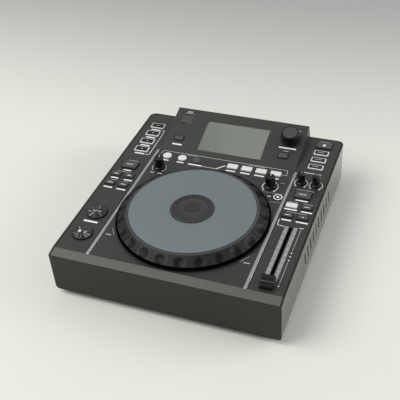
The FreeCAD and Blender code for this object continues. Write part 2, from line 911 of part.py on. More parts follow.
def make_deck_cover(buttons):
    """The top plate: sloped front edge, cut-outs, grooves, bosses and board posts."""
    x = half_width - case_wall - cover_seam
    rear = rear_y - case_wall - cover_seam
    corner = rear_corner_radius - case_wall - cover_seam
    chamfer_end = front_y + chamfer_run
    plate = side_prism([(front_y, deck_top - chamfer_drop), (chamfer_end, deck_top), (rear, deck_top),
                        (rear, cover_underside), (chamfer_end, cover_underside),
                        (front_y, deck_top - chamfer_drop - cover_front_edge)], -x, x)
    plan = joined([box(-x, x, front_y, rear - corner, 0, deck_top + overcut),
                   box(-x + corner, x - corner, front_y, rear, 0, deck_top + overcut),
                   disc(-x + corner, rear - corner, corner, 0, deck_top + overcut),
                   disc(x - corner, rear - corner, corner, 0, deck_top + overcut)])
    plate = plate.common(plan)
    join = cover_screw_join()
    additions = [disc(bx, by, boss_radius, join, cover_underside + overcut)
                 for bx, by in case_boss_places()]
    board_top = deck_top + stack_heights()[5]
    for px, py in board_post_places():
        additions.append(disc(px, py, post_radius, board_top, cover_underside + overcut))
    plate = plate.fuse(additions)
    cutters = [on_deck(button_hole(b)) for b in buttons if b["surface"] == "deck"]
    for name, kx, ky, radii in knob_list():
        cutters.append(disc(kx, ky, pot_bush_radius + pot_hole_gap, cover_underside - overcut,
                            deck_top + overcut))
    hub_hole = bush_radius + pot_hole_gap
    cutters.append(disc(0, from_front(jog_from_front), hub_hole, cover_underside - overcut,
                        deck_top + overcut))
    slot_half = fader_travel / 2 + tang_length / 2 + fader_slot_end_gap
    middle = from_front(fader_middle)
    cutters.append(box(fader_x - fader_slot_width / 2, fader_x + fader_slot_width / 2,
                       middle - slot_half, middle + slot_half, cover_underside - overcut,
                       deck_top + overcut))
    opening = panel_half_width - panel_opening_margin
    panel_y = from_front(panel_from_front)
    cutters.append(box(-opening, opening, panel_y + panel_opening_front,
                       panel_rear_foot() - panel_opening_margin,
                       cover_underside - overcut, deck_top + overcut))
    for side in (-1, 1):
        cutters.append(on_deck(strip_block(strip_groove_gap, -strip_groove_depth, overcut, side)))
    for bx, by in case_boss_places():
        cutters.append(disc(bx, by, screw_radius, join - overcut, join + screw_bite + overcut))
    return plate.cut(cutters).removeSplitter()


def panel_rear_foot():
    """Y where the panel's rear face meets the deck."""
    tilt = math.radians(panel_tilt)
    return from_front(panel_from_front) + panel_length / math.cos(tilt)


def flap_hinge():
    """Place of the flap's hinge pin, as (distance up the slope, height out of it)."""
    up = flap_up_slope + flap_length / 2 - flap_thickness / 2
    return up, -flap_below_surface - flap_thickness / 2


def flap_recess_floor():
    """Height of the floor under the flap."""
    return -flap_below_surface - flap_thickness - flap_floor_gap


def socket_block(gap, z0, z1):
    """The block that holds the memory-stick socket, grown by a gap."""
    size_x = flap_width + 2 * flap_recess_gap + 2 * block_margin + 2 * gap
    size_y = flap_length + 2 * flap_recess_gap + 2 * overcut + 2 * gap
    return centred_box(flap_x, flap_up_slope, size_x, size_y, z0, z1)


def panel_posts():
    """The posts that carry the board behind the display."""
    board_top = stack_heights()[5]
    edge = post_radius + touch_gap
    ups = (panel_board_up[0] + edge, panel_board_up[1] - edge)
    return [disc(side * panel_post_x, up, post_radius, board_top, -panel_wall + overcut / 2)
            for side in (-1, 1) for up in ups]


def make_display_housing(buttons):
    """The tilted shell, open below, with its window, flap recess, button and knob holes."""
    outer = box(-panel_half_width, panel_half_width, 0, panel_length, -panel_drop, 0)
    inner_x = panel_half_width - panel_wall
    inner = box(-inner_x, inner_x, -panel_wall, panel_length - panel_wall, -panel_drop - overcut,
                -panel_wall)
    shell = outer.cut(inner)
    above = box(-width, width, from_front(0), rear_y + depth, deck_top, 2 * deck_top)
    shell = on_panel(shell).common(above)
    block = on_panel(socket_block(0, -block_depth, -panel_wall + overcut / 2))
    shell = shell.fuse([block] + [on_panel(post) for post in panel_posts()])
    cutters = [centred_box(0, screen_up_slope, screen_width + 2 * window_clearance,
                           screen_height + 2 * window_clearance, -panel_wall - overcut, overcut)]
    floor = flap_recess_floor()
    cutters.append(centred_box(flap_x, flap_up_slope, flap_width + 2 * flap_recess_gap,
                               flap_length + 2 * flap_recess_gap, floor, overcut))
    notch_y = flap_up_slope - flap_length / 2 - flap_recess_gap
    cutters.append(disc(flap_x - flap_width / 5, notch_y + overcut, flap_notch_radius, floor, overcut))
    up, out = flap_hinge()
    pin_half = flap_width / 2 + flap_recess_gap + flap_pin_length + flap_recess_gap
    cutters.append(Part.makeCylinder(flap_pin_radius + flap_pin_clearance, 2 * pin_half,
                                     FreeCAD.Vector(flap_x - pin_half, up, out), FreeCAD.Vector(1, 0, 0)))
    cutters.append(centred_box(flap_x, flap_up_slope, socket_width + 2 * socket_clearance,
                               socket_depth + 2 * socket_clearance, -block_depth - overcut, overcut))
    for b in buttons:
        if b["surface"] == "panel":
            cutters.append(button_hole(b))
    cutters.append(disc(browse_x, browse_up_slope, browse_hole_radius, -panel_wall - overcut, overcut))
    return shell.cut([on_panel(c) for c in cutters]).removeSplitter()


def make_display_window():
    """The clear plate, flush with the panel."""
    plate = rounded_box(0, screen_up_slope, screen_width, screen_height, -panel_wall, 0, window_corner)
    return on_panel(plate)


def make_display_module():
    """The screen panel and its frame, behind the window."""
    body = centred_box(0, screen_up_slope, module_width, module_height,
                       -panel_wall - module_thickness, -panel_wall)
    return on_panel(body)


def make_flap():
    """The memory-stick flap: a plate with a round rear edge and two hinge pins."""
    up, out = flap_hinge()
    half = flap_width / 2
    front = flap_up_slope - flap_length / 2
    plate = box(flap_x - half, flap_x + half, front, up, out - flap_thickness / 2, out + flap_thickness / 2)
    axis = FreeCAD.Vector(1, 0, 0)
    barrel = Part.makeCylinder(flap_thickness / 2, flap_width, FreeCAD.Vector(flap_x - half, up, out), axis)
    pin_half = half + flap_recess_gap + flap_pin_length
    pin = Part.makeCylinder(flap_pin_radius, 2 * pin_half, FreeCAD.Vector(flap_x - pin_half, up, out), axis)
    return on_panel(plate.fuse([barrel, pin]).removeSplitter())


def make_usb_socket():
    """The memory-stick socket: a metal shell with its tongue, and the board it stands on."""
    top = flap_recess_floor()
    bottom = -block_depth
    shell = centred_box(flap_x, flap_up_slope, socket_width, socket_depth, bottom, top)
    shell = shell.cut(centred_box(flap_x, flap_up_slope, socket_width - 2 * socket_shell,
                                  socket_depth - 2 * socket_shell, bottom + overcut, top + overcut))
    tongue_y = flap_up_slope + (socket_depth - socket_tongue_thickness) / 2
    tongue_y -= socket_shell + socket_tongue_gap
    tongue = centred_box(flap_x, tongue_y, socket_tongue_width, socket_tongue_thickness,
                         bottom + overcut / 2, top - overcut)
    board = centred_box(flap_x, flap_up_slope, flap_width, flap_length - 2 * overcut,
                        bottom - socket_board_thickness, bottom)
    return on_panel(shell.fuse(tongue)), on_panel(board)


# Jog wheel
def jog_y():
    """Y of the wheel's axis."""
    return from_front(jog_from_front)


def shelf_top():
    """Height above the deck of the shelf that the plate lies on."""
    return jog_plate_top - jog_plate_thickness


def make_jog_ring():
    """The outer ring: band, sloped dimpled face, rim and the shelf for the plate."""
    shelf = shelf_top()
    under = shelf - jog_shelf_thickness
    cone_drop = jog_cone_top - jog_wall
    profile = [(jog_radius - jog_edge_bevel, jog_floor_gap),
               (jog_radius, jog_floor_gap + jog_edge_bevel),
               (jog_radius, jog_band_height),
               (jog_radius - jog_edge_bevel, jog_band_height + jog_edge_bevel),
               (jog_cone_inner_radius, jog_cone_top),
               (jog_rim_radius, jog_rim_height),
               (jog_rim_inner_radius, jog_rim_height),
               (jog_rim_inner_radius, shelf),
               (jog_shelf_inner_radius, shelf),
               (jog_shelf_inner_radius, under),
               (jog_cone_inner_radius - jog_wall, under),
               (jog_radius - 2 * jog_wall, jog_band_height),
               (jog_radius - 2 * jog_wall, jog_floor_gap)]
    ring = turned(profile, 0, jog_y())
    slope = math.atan2(cone_drop - jog_band_height + jog_edge_bevel, jog_radius - jog_cone_inner_radius)
    middle_height = (jog_band_height + jog_edge_bevel + jog_cone_top) / 2
    lift = (dimple_radius ** 2 + dimple_depth ** 2) / (2 * dimple_depth)
    reach = lift - dimple_depth
    cutters = []
    for i in range(dimple_count):
        angle = math.radians(dimple_first_angle + 360.0 * i / dimple_count)
        radius = dimple_circle + reach * math.sin(slope)
        centre = FreeCAD.Vector(radius * math.cos(angle), jog_y() + radius * math.sin(angle),
                                middle_height + reach * math.cos(slope))
        cutters.append(Part.makeSphere(lift, centre))
    return on_deck(ring.cut(cutters))


def make_jog_plate():
    """The flat touch plate with a bevelled rim and a hole for the cap."""
    shelf = shelf_top()
    hole = jog_cap_radius + jog_cap_gap
    profile = [(hole, shelf), (jog_plate_radius, shelf),
               (jog_plate_radius, jog_plate_top - jog_plate_bevel),
               (jog_plate_radius - jog_plate_bevel, jog_plate_top), (hole, jog_plate_top)]
    return on_deck(turned(profile, 0, jog_y()))


def make_jog_cap():
    """The dark cap in the middle of the plate."""
    top = jog_plate_top + jog_cap_rise
    profile = [(0, shelf_top()), (jog_cap_radius, shelf_top()), (jog_cap_radius, top - jog_plate_bevel),
               (jog_cap_radius - jog_plate_bevel, top), (0, top)]
    return on_deck(turned(profile, 0, jog_y()))


def bush_top():
    """Height above the deck where the bearing bush ends."""
    return shelf_top() - hub_disc_thickness - hub_boss_height - touch_gap


def bush_bottom():
    """Height below the deck where the bearing bush ends."""
    return bush_top() - bush_length


def make_jog_hub():
    """The spindle with its disc, and the slotted encoder disc at its lower end."""
    disc_bottom = shelf_top() - hub_disc_thickness
    boss_bottom = disc_bottom - hub_boss_height
    collar_top = bush_bottom() - touch_gap
    collar_bottom = collar_top - encoder_collar_height
    hub = joined([disc(0, 0, hub_disc_radius, disc_bottom, shelf_top()),
                  disc(0, 0, hub_boss_radius, boss_bottom, disc_bottom),
                  disc(0, 0, spindle_radius, collar_bottom, disc_bottom)])
    wheel = joined([disc(0, 0, encoder_collar_radius, collar_bottom, collar_top),
                    disc(0, 0, encoder_disc_radius, collar_bottom, collar_bottom + encoder_disc_thickness)])
    cutters = [disc(0, 0, spindle_radius, collar_bottom - overcut, collar_top + overcut)]
    slot_outer = encoder_disc_radius - encoder_slot_edge
    for i in range(encoder_slot_count):
        slot = box(slot_outer - encoder_slot_length, slot_outer,
                   -encoder_slot_width / 2, encoder_slot_width / 2,
                   collar_bottom - overcut, collar_bottom + encoder_disc_thickness + overcut)
        cutters.append(slot.rotated(FreeCAD.Vector(0, 0, 0), FreeCAD.Vector(0, 0, 1),
                                    360.0 * i / encoder_slot_count))
    wheel = wheel.cut(cutters)
    place = FreeCAD.Vector(0, jog_y(), 0)
    return on_deck(hub.translated(place)), on_deck(wheel.translated(place))


def make_jog_bearing():
    """The plate under the deck with the spindle's bush and the encoder's sensor fork."""
    plate_top = -cover_thickness
    plate = rounded_box(0, 0, 2 * bearing_plate_half, 2 * bearing_plate_half,
                        plate_top - bearing_plate_thickness, plate_top, bearing_corner_radius)
    bush = disc(0, 0, bush_radius, bush_bottom(), bush_top())
    bearing = plate.fuse(bush)
    bearing = bearing.cut(disc(0, 0, spindle_radius + spindle_clearance, bush_bottom() - overcut,
                               bush_top() + overcut))
    disc_bottom = bush_bottom() - touch_gap - encoder_collar_height
    disc_top = disc_bottom + encoder_disc_thickness
    inner = encoder_disc_radius - fork_overlap
    fork = box(inner, inner + fork_length, -fork_width / 2, fork_width / 2,
               disc_bottom - fork_gap - fork_arm, plate_top - bearing_plate_thickness)
    fork = fork.cut(box(inner - overcut, encoder_disc_radius + fork_gap, -fork_width, fork_width,
                        disc_bottom - fork_gap, disc_top + fork_gap))
    place = FreeCAD.Vector(0, jog_y(), 0)
    return on_deck(bearing.translated(place)), on_deck(fork.translated(place))


# Pitch fader
def fader_rest_y():
    """Y of the fader's tang at rest, at the front end of its travel."""
    return from_front(fader_middle) - fader_travel / 2


def rod_places():
    """Sideways places of the two guide rods."""
    return (fader_x - guide_rod_spread, fader_x + guide_rod_spread)


def rod_height():
    """Height of the guide rods."""
    return deck_top - cover_thickness - fader_body_wall - touch_gap - carriage_height / 2


def make_fader_cap():
    """The cap with its low step and ridge, its tang and the carriage on the rods."""
    y = fader_rest_y()
    bottom = deck_top + fader_deck_gap
    half = fader_cap_width / 2
    top = deck_top + fader_cap_height
    step = deck_top + fader_step_height
    valley = deck_top + fader_valley_height
    front = y - fader_cap_front
    lip = front + fader_lip
    ridge_front = y + fader_ridge_front
    ridge_back = y + fader_ridge_back
    cap = side_prism([(front, bottom), (front, step - fader_edge), (front + fader_edge, step), (lip, step),
                      (lip + fader_dip, valley), (ridge_front - fader_ridge_foot, valley + fader_edge),
                      (ridge_front, top - fader_edge), (ridge_front + fader_edge, top),
                      (ridge_back - fader_edge, top), (ridge_back, top - fader_edge),
                      (y + fader_cap_back, step), (y + fader_cap_back, bottom)],
                     fader_x - half, fader_x + half)
    carriage_top = deck_top - cover_thickness - fader_body_wall - touch_gap
    carriage_bottom = carriage_top - carriage_height
    tang = centred_box(fader_x, y, tang_thickness, tang_length, carriage_bottom + overcut, bottom + overcut)
    carriage = centred_box(fader_x, y, carriage_width, carriage_length, carriage_bottom, carriage_top)
    body = cap.fuse([tang, carriage])
    bore = guide_rod_radius + guide_rod_clearance
    rods = [rear_rod(x, rod_height(), bore, y - carriage_length, y + carriage_length) for x in rod_places()]
    return body.cut(rods).removeSplitter()


def make_fader_body():
    """The slide potentiometer's channel and its two guide rods."""
    half_length = fader_travel / 2 + carriage_length / 2 + fader_body_spare
    middle = from_front(fader_middle)
    top = deck_top - cover_thickness
    bottom = top - fader_body_height
    outer = centred_box(fader_x, middle, fader_body_width, 2 * (half_length + fader_body_wall),
                        bottom, top)
    inner = centred_box(fader_x, middle, fader_body_width - 2 * fader_body_wall, 2 * half_length,
                        bottom + fader_body_wall, top - fader_body_wall)
    slot_half = fader_travel / 2 + tang_length / 2 + fader_slot_end_gap
    slot = centred_box(fader_x, middle, fader_body_slot, 2 * slot_half, top - 2 * fader_body_wall,
                       top + overcut)
    channel = outer.cut([inner, slot])
    rods = [rear_rod(x, rod_height(), guide_rod_radius, middle - half_length, middle + half_length)
            for x in rod_places()]
    return [channel] + rods


# Boards
def make_control_boards(buttons):
    """The boards under the deck and the panel, with switches, potentiometers and encoder."""
    board_top = stack_heights()[5]
    board_bottom = board_top - board_thickness
    solids = []
    for xs, ys in ((left_board_x, left_board_y), (right_board_x, right_board_y),
                   (middle_board_x, middle_board_y())):
        solids.append(on_deck(box(xs[0], xs[1], from_front(ys[0]), from_front(ys[1]),
                                  board_bottom, board_top)))
    panel_board = box(-panel_board_half, panel_board_half, panel_board_up[0], panel_board_up[1],
                      board_bottom, board_top)
    panel_board = panel_board.cut(socket_block(touch_gap + overcut, 2 * board_bottom, 0))
    solids.append(on_panel(panel_board))
    for b in buttons:
        move = on_panel if b["surface"] == "panel" else on_deck
        solids.append(move(switch_under(b)))
    for name, x, y, radii in knob_list():
        solids.append(on_deck(potentiometer(x, y)))
    solids.append(on_panel(browse_encoder()))
    return solids


def make_main_board():
    """The main board on its posts, with chips, headers and the flat cables to the deck."""
    bottom = floor_top + standoff_height
    top = bottom + board_thickness
    x0, x1 = main_board_x
    y0, y1 = (from_front(d) for d in main_board_y)
    solids = [box(x0, x1, y0, y1, bottom, top)]
    chips = ((chip_x[0], chip_from_end[0], large_chip), (chip_x[1], chip_from_end[0], middle_chip),
             (chip_x[0], chip_from_end[1], small_chip), (chip_x[2], chip_from_end[1], small_chip))
    for x, before_end, size in chips:
        solids.append(centred_box(x, y1 - before_end, size, size, top, top + chip_height))
    header_top = top + header_height
    header_width = ribbon_width + header_spare
    upper = deck_top + stack_heights()[5] - board_thickness
    right_place = (x1 - right_ribbon_from_end[0], from_front(right_board_y[0] + right_ribbon_from_end[1]))
    middle_place = (middle_ribbon_x, from_front(middle_from_front - middle_ribbon_before))
    for x, y in (right_place, middle_place):
        solids.append(centred_box(x, y, header_height, header_width, top, header_top))
        solids.append(centred_box(x, y, ribbon_thickness, ribbon_width, header_top, upper))
    x = x0 + header_from_end
    y = from_front(left_ribbon_from_front)
    solids.append(centred_box(x, y, header_height, header_width, top, header_top))
    run = upper - header_height
    left_end = left_board_x[1] - header_from_end
    half = ribbon_thickness / 2
    cable = side_prism_y([(x - half, header_top), (x + half, header_top), (x + half, run),
                          (left_end + ribbon_thickness, run), (left_end + ribbon_thickness, upper),
                          (left_end, upper), (left_end, run - ribbon_thickness),
                          (x - half, run - ribbon_thickness)],
                         y - ribbon_width / 2, y + ribbon_width / 2)
    solids.append(cable)
    return solids


def side_prism_y(profile, y0, y1):
    """Solid with an (x, z) outline that runs along Y."""
    points = [FreeCAD.Vector(x, y0, z) for x, z in profile]
    face = Part.Face(Part.makePolygon(points + [points[0]]))
    return face.extrude(FreeCAD.Vector(0, y1 - y0, 0))


def make_power_supply():
    """The power supply: a sheet-metal box on the floor with a transformer and capacitor inside."""
    x0, x1 = supply_x
    y0, y1 = (from_front(d) for d in supply_y)
    z0 = floor_top
    outer = box(x0, x1, y0, y1, z0, z0 + supply_height)
    w = supply_wall
    case = outer.cut(box(x0 + w, x1 - w, y0 + w, y1 - w, z0 + w, z0 + supply_height - w))
    middle_x = (x0 + x1) / 2
    transformer = centred_box(middle_x, y0 + transformer_from_end, transformer_width, transformer_length,
                              z0 + w, z0 + w + transformer_height)
    capacitor = disc(middle_x, y1 - capacitor_from_end, capacitor_radius, z0 + w, z0 + w + capacitor_height)
    return case, transformer, capacitor


# Rear panel
def plate_faces():
    """Inner and outer Y of the rear plate."""
    outer = rear_y - case_wall
    return outer - rear_plate_thickness, outer


def rear_block(x, z, size_x, size_z, y0, y1):
    """Block centred on a connector's axis."""
    return box(x - size_x / 2, x + size_x / 2, y0, y1, z - size_z / 2, z + size_z / 2)


def make_rear_panel():
    """The metal plate behind the rear opening, cut for every connector."""
    inner, outer = plate_faces()
    margin = rear_plate_margin
    plate = box(-rear_opening_half - margin, rear_opening_half + margin, inner, outer,
                rear_opening_bottom - margin, rear_opening_top + margin)
    y0 = inner - overcut
    y1 = outer + overcut
    gap = 2 * plate_hole_gap
    cutters = [rear_block(inlet_x, connector_z, inlet_width + gap, inlet_height + gap, y0, y1),
               rear_block(rocker_x, connector_z, rocker_frame_width + gap,
                          rocker_frame_height + gap, y0, y1),
               rear_block(network_x, connector_z, network_width + gap, network_height + gap, y0, y1),
               rear_rod(mini_x, connector_z, mini_radius + plate_hole_gap, y0, y1)]
    for x in coax_x:
        cutters.append(rear_rod(x, connector_z, coax_radius + plate_hole_gap, y0, y1))
    for x, z in rear_screw_places():
        cutters.append(rear_rod(x, z, rear_screw_radius + screw_clearance, y0, y1))
    return plate.cut(cutters)


def make_inlet():
    """The mains inlet with its flange, mouth and three pins."""
    inner, outer = plate_faces()
    front = outer + inlet_flange_thickness
    body = rear_block(inlet_x, connector_z, inlet_width, inlet_height, front - inlet_depth, front)
    flange = rear_block(inlet_x, connector_z, inlet_width + 2 * inlet_flange,
                        inlet_height + 2 * inlet_flange,
                        outer, front)
    body = body.fuse(flange)
    back = front - inlet_mouth_depth
    body = body.cut(rear_block(inlet_x, connector_z, inlet_mouth_width, inlet_mouth_height, back,
                               front + overcut))
    pins = []
    for offset_x, offset_z in ((-inlet_pin_pitch, -inlet_pin_drop), (0, inlet_pin_rise),
                               (inlet_pin_pitch, -inlet_pin_drop)):
        pins.append(rear_block(inlet_x + offset_x, connector_z + offset_z,
                               inlet_pin_width, inlet_pin_height,
                               back - overcut, front - overcut))
    return body.fuse(pins)


def rocker_pivot_y():
    """Y of the rocker's pivot."""
    return plate_faces()[1] - rocker_pivot_depth


def make_rocker_frame():
    """The mains switch's frame, open to the back, with pivot holes."""
    inner, outer = plate_faces()
    front = outer + rocker_frame_flange
    frame = rear_block(rocker_x, connector_z, rocker_frame_width, rocker_frame_height,
                       outer - rocker_frame_depth, front)
    flange = rear_block(rocker_x, connector_z, rocker_frame_width + 2 * inlet_flange,
                        rocker_frame_height + 2 * inlet_flange, outer, front)
    frame = frame.fuse(flange)
    hollow = rear_block(rocker_x, connector_z, rocker_width + 2 * rocker_gap,
                        2 * (rocker_radius + rocker_gap),
                        outer - rocker_frame_depth + rocker_frame_back, front + overcut)
    pin_half = rocker_width / 2 + rocker_pin_length + rocker_gap
    holes = Part.makeCylinder(rocker_pin_radius + rocker_pin_clearance, 2 * pin_half,
                              FreeCAD.Vector(rocker_x - pin_half, rocker_pivot_y(), connector_z),
                              FreeCAD.Vector(1, 0, 0))
    return frame.cut([hollow, holes])


def make_power_rocker():
    """The rocker: round about its pivot, with a shallow V face, resting on its off side."""
    half = rocker_width / 2
    axis = FreeCAD.Vector(1, 0, 0)
    drum = Part.makeCylinder(rocker_radius, rocker_width, FreeCAD.Vector(rocker_x - half, 0, 0), axis)
    reach = rocker_radius
    edge = rocker_face + rocker_face_slope * reach
    keep = side_prism([(-rocker_back, -reach), (edge, -reach), (rocker_face, 0), (edge, reach),
                       (-rocker_back, reach)], rocker_x - half, rocker_x + half)
    rocker = drum.common(keep)
    pin_half = half + rocker_pin_length
    pin = Part.makeCylinder(rocker_pin_radius, 2 * pin_half,
                            FreeCAD.Vector(rocker_x - pin_half, 0, 0), axis)
    rocker = rocker.fuse(pin).removeSplitter()
    rocker = rocker.rotated(FreeCAD.Vector(0, 0, 0), axis, -rocker_tilt)
    return rocker.translated(FreeCAD.Vector(0, rocker_pivot_y(), connector_z))


def jack_board_top():
    """Height of the board that the network socket and the jacks stand on."""
    return connector_z - network_height / 2


def make_jack_board():
    """The small board behind the rear plate."""
    inner = plate_faces()[0] - touch_gap
    x0, x1 = jack_board_x
    return box(x0, x1, inner - jack_board_length, inner,
               jack_board_top() - board_thickness, jack_board_top())


def make_network_socket():
    """The network socket with its open mouth."""
    outer = plate_faces()[1]
    front = outer + overcut / 2
    body = rear_block(network_x, connector_z, network_width, network_height, front - network_depth, front)
    mouth = rear_block(network_x, connector_z, network_mouth_width, network_mouth_height,
                       front - network_mouth_depth, front + overcut)
    return body.cut(mouth)


def make_coax_jack(x):
    """One coaxial jack: a body behind the plate and a bored barrel through it."""
    inner, outer = plate_faces()
    body = box(x - coax_body / 2, x + coax_body / 2, inner - coax_depth, inner, jack_board_top(),
               connector_z + coax_body / 2)
    tip = rear_y + jack_projection
    barrel = rear_rod(x, connector_z, coax_radius, inner - overcut, tip)
    return body.fuse(barrel).cut(rear_rod(x, connector_z, coax_bore, tip - coax_bore_depth, tip + overcut))


def make_mini_jack():
    """The small round jack."""
    inner, outer = plate_faces()
    body = box(mini_x - mini_body / 2, mini_x + mini_body / 2, inner - coax_depth, inner,
               jack_board_top(), connector_z + mini_body / 2)
    tip = outer + mini_rise
    barrel = rear_rod(mini_x, connector_z, mini_radius, inner - overcut, tip)
    return body.fuse(barrel).cut(rear_rod(mini_x, connector_z, mini_bore, inner - coax_bore_depth,
                                          tip + overcut))


# Feet and screws
def make_feet():
    """Four rubber feet with a screw recess."""
    feet = []
    for x, y in foot_places():
        foot = turned([(foot_bore_radius, foot_recess_depth), (foot_recess_radius, foot_recess_depth),
                       (foot_recess_radius, 0), (foot_bottom_radius - overcut, 0),
                       (foot_bottom_radius, overcut),
                       (foot_top_radius, foot_height), (foot_bore_radius, foot_height)], x, y)
        feet.append(foot)
    return feet


def make_case_screws():
    """The screws of the case, the feet and the rear plate."""
    screws = []
    for x, y in case_boss_places():
        seat = case_bottom + screw_recess
        tip = cover_screw_join() + screw_bite
        head = disc(x, y, screw_head_radius, seat - screw_head_height, seat)
        screws.append(head.fuse(disc(x, y, screw_radius, seat - overcut / 2, tip)).removeSplitter())
    for x, y in foot_places():
        seat = foot_recess_depth
        head = disc(x, y, screw_head_radius, seat - screw_head_height, seat)
        shank = disc(x, y, screw_radius, seat - overcut / 2, seat + foot_screw_length)
        screws.append(head.fuse(shank).removeSplitter())
    for x, z in rear_screw_places():
        head = rear_rod(x, z, rear_screw_head, rear_y, rear_y + rear_screw_head_height)
        shank = rear_rod(x, z, rear_screw_radius, rear_y + rear_screw_head_height / 2 - rear_screw_length,
                         rear_y + rear_screw_head_height / 2)
        screws.append(head.fuse(shank).removeSplitter())
    return screws


def build():
    """Make every node."""
    buttons = button_list()
    save("lower_case", make_lower_case())
    save("deck_cover", make_deck_cover(buttons))
    save("display_housing", make_display_housing(buttons))
    save("display_window", make_display_window())
    save("display_module", make_display_module())
    save("usb_cover", make_flap())
    save("usb_socket", *make_usb_socket())
    save("trim_strips", *make_trim_strips())
    save("jog_ring", make_jog_ring())
    save("jog_plate", make_jog_plate())
    save("jog_cap", make_jog_cap())
    save("jog_hub", *make_jog_hub())
    save("jog_bearing", *make_jog_bearing())
    save("fader_cap", make_fader_cap())
    save("fader_body", *make_fader_body())
    save("browse_shaft", browse_shaft())
    save("browse_knob", browse_knob())
    for name, x, y, radii in knob_list():
        save(name, *knob(x, y, radii))
    for b in buttons:
        move = on_panel if b["surface"] == "panel" else on_deck
        save(b["name"], move(button_cap(b)))
    save("control_boards", *make_control_boards(buttons))
    save("main_board", *make_main_board())
    save("power_supply", *make_power_supply())
    save("rear_panel", make_rear_panel())
    save("rear_connectors", make_inlet(), make_rocker_frame(), make_network_socket(),
         *[make_coax_jack(x) for x in coax_x], make_mini_jack(), make_jack_board())
    save("power_rocker", make_power_rocker())
    save("feet", *make_feet())
    save("case_screws", *make_case_screws())


def write():
    """Write one STEP file for each node."""
    os.makedirs("parts", exist_ok=True)
    for name, solids in nodes.items():
        shape = solids[0] if len(solids) == 1 else Part.makeCompound(list(solids))
        shape.exportStep(os.path.join("parts", name + ".step"))
    print(len(nodes), "nodes,", sum(len(s.Solids) for solids in nodes.values() for s in solids), "solids")


build()
write()
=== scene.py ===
import json
import math
import random

import bmesh
import bpy
from mathutils import Matrix, Vector


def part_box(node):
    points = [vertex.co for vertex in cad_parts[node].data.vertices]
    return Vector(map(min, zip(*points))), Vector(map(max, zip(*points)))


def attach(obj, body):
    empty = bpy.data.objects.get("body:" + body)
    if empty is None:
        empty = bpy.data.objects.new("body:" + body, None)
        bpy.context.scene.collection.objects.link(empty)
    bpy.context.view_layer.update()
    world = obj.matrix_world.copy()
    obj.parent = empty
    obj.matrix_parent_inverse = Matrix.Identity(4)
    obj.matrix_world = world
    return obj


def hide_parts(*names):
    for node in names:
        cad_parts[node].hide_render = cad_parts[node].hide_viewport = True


# Looks of the tabletop disc player. Lengths are in millimetres on the plane of the deck or of the
# display panel: x to the right, y away from the front edge, z out of the surface. A place matrix
# turns them into the metres of the CAD frame.

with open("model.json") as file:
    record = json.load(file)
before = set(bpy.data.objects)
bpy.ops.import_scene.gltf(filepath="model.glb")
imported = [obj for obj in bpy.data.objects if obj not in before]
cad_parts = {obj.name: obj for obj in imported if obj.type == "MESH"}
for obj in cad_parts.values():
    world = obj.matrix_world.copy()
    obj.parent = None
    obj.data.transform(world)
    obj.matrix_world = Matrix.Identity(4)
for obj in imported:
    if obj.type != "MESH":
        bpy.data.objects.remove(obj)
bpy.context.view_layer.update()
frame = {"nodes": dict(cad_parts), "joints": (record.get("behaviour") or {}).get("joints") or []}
print("frame loaded,", len(frame["nodes"]), "nodes")

mm = 0.001
joints = {joint["name"]: joint for joint in frame["joints"]}
caseLow, caseHigh = (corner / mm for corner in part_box("lower_case"))
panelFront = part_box("display_housing")[0].y / mm - caseLow.y
panelUp = joints["browse_turn"]["axis"]  # the large knob stands square on the panel
panelTilt = math.atan2(-panelUp[1], panelUp[2])

deckPlace = Matrix.Scale(mm, 4) @ Matrix.Translation((0, caseLow.y, caseHigh.z))
panelPlace = deckPlace @ Matrix.Translation((0, panelFront, 0)) @ Matrix.Rotation(panelTilt, 4, "X")


def axisOn(place, joint):
    # where a joint's axis stands, in the millimetres of a place
    return place.inverted() @ Vector(joints[joint]["pos_m"])


def spanOn(place, node):
    # a CAD node's lowest and highest corner, in the millimetres of a place
    back = place.inverted()
    points = [back @ vertex.co for vertex in frame["nodes"][node].data.vertices]
    return [Vector([pick(point[axis] for point in points) for axis in range(3)]) for pick in (min, max)]


# shapes, each in a bmesh of its own

def facing(part):
    bmesh.ops.remove_doubles(part, verts=part.verts, dist=1e-4)
    bmesh.ops.recalc_face_normals(part, faces=part.faces)
    return part


def block(centre, size):
    part = bmesh.new()
    bmesh.ops.create_cube(part, size=1.0)
    bmesh.ops.scale(part, vec=size, verts=part.verts)
    bmesh.ops.translate(part, vec=centre, verts=part.verts)
    return part


def softEdges(part, width, segments=2, angle=30, keep=None):
    # rounds every edge sharper than the angle, or those of them that keep picks
    sharp = [e for e in part.edges if len(e.link_faces) == 2 and e.calc_face_angle(0) > math.radians(angle)]
    if keep:
        sharp = [e for e in sharp if keep(e)]
    bmesh.ops.bevel(part, geom=sharp, offset=width, offset_type="OFFSET", affect="EDGES",
                    segments=segments, profile=0.5, material=-1, clamp_overlap=True)
    return part


def isUpright(edge):
    a, b = (v.co for v in edge.verts)
    return abs(a.z - b.z) > 1e-3 and (a - b).xy.length < 1e-3


def slab(centre, size, corner, edge):
    # block with round plan corners and, where edge isn't nought, a soft top
    part = softEdges(block(centre, size), corner, 5, keep=isUpright)
    top = centre[2] + size[2] / 2
    if edge:
        softEdges(part, edge, 3, keep=lambda e: all(abs(v.co.z - top) < 1e-3 for v in e.verts))
    return part


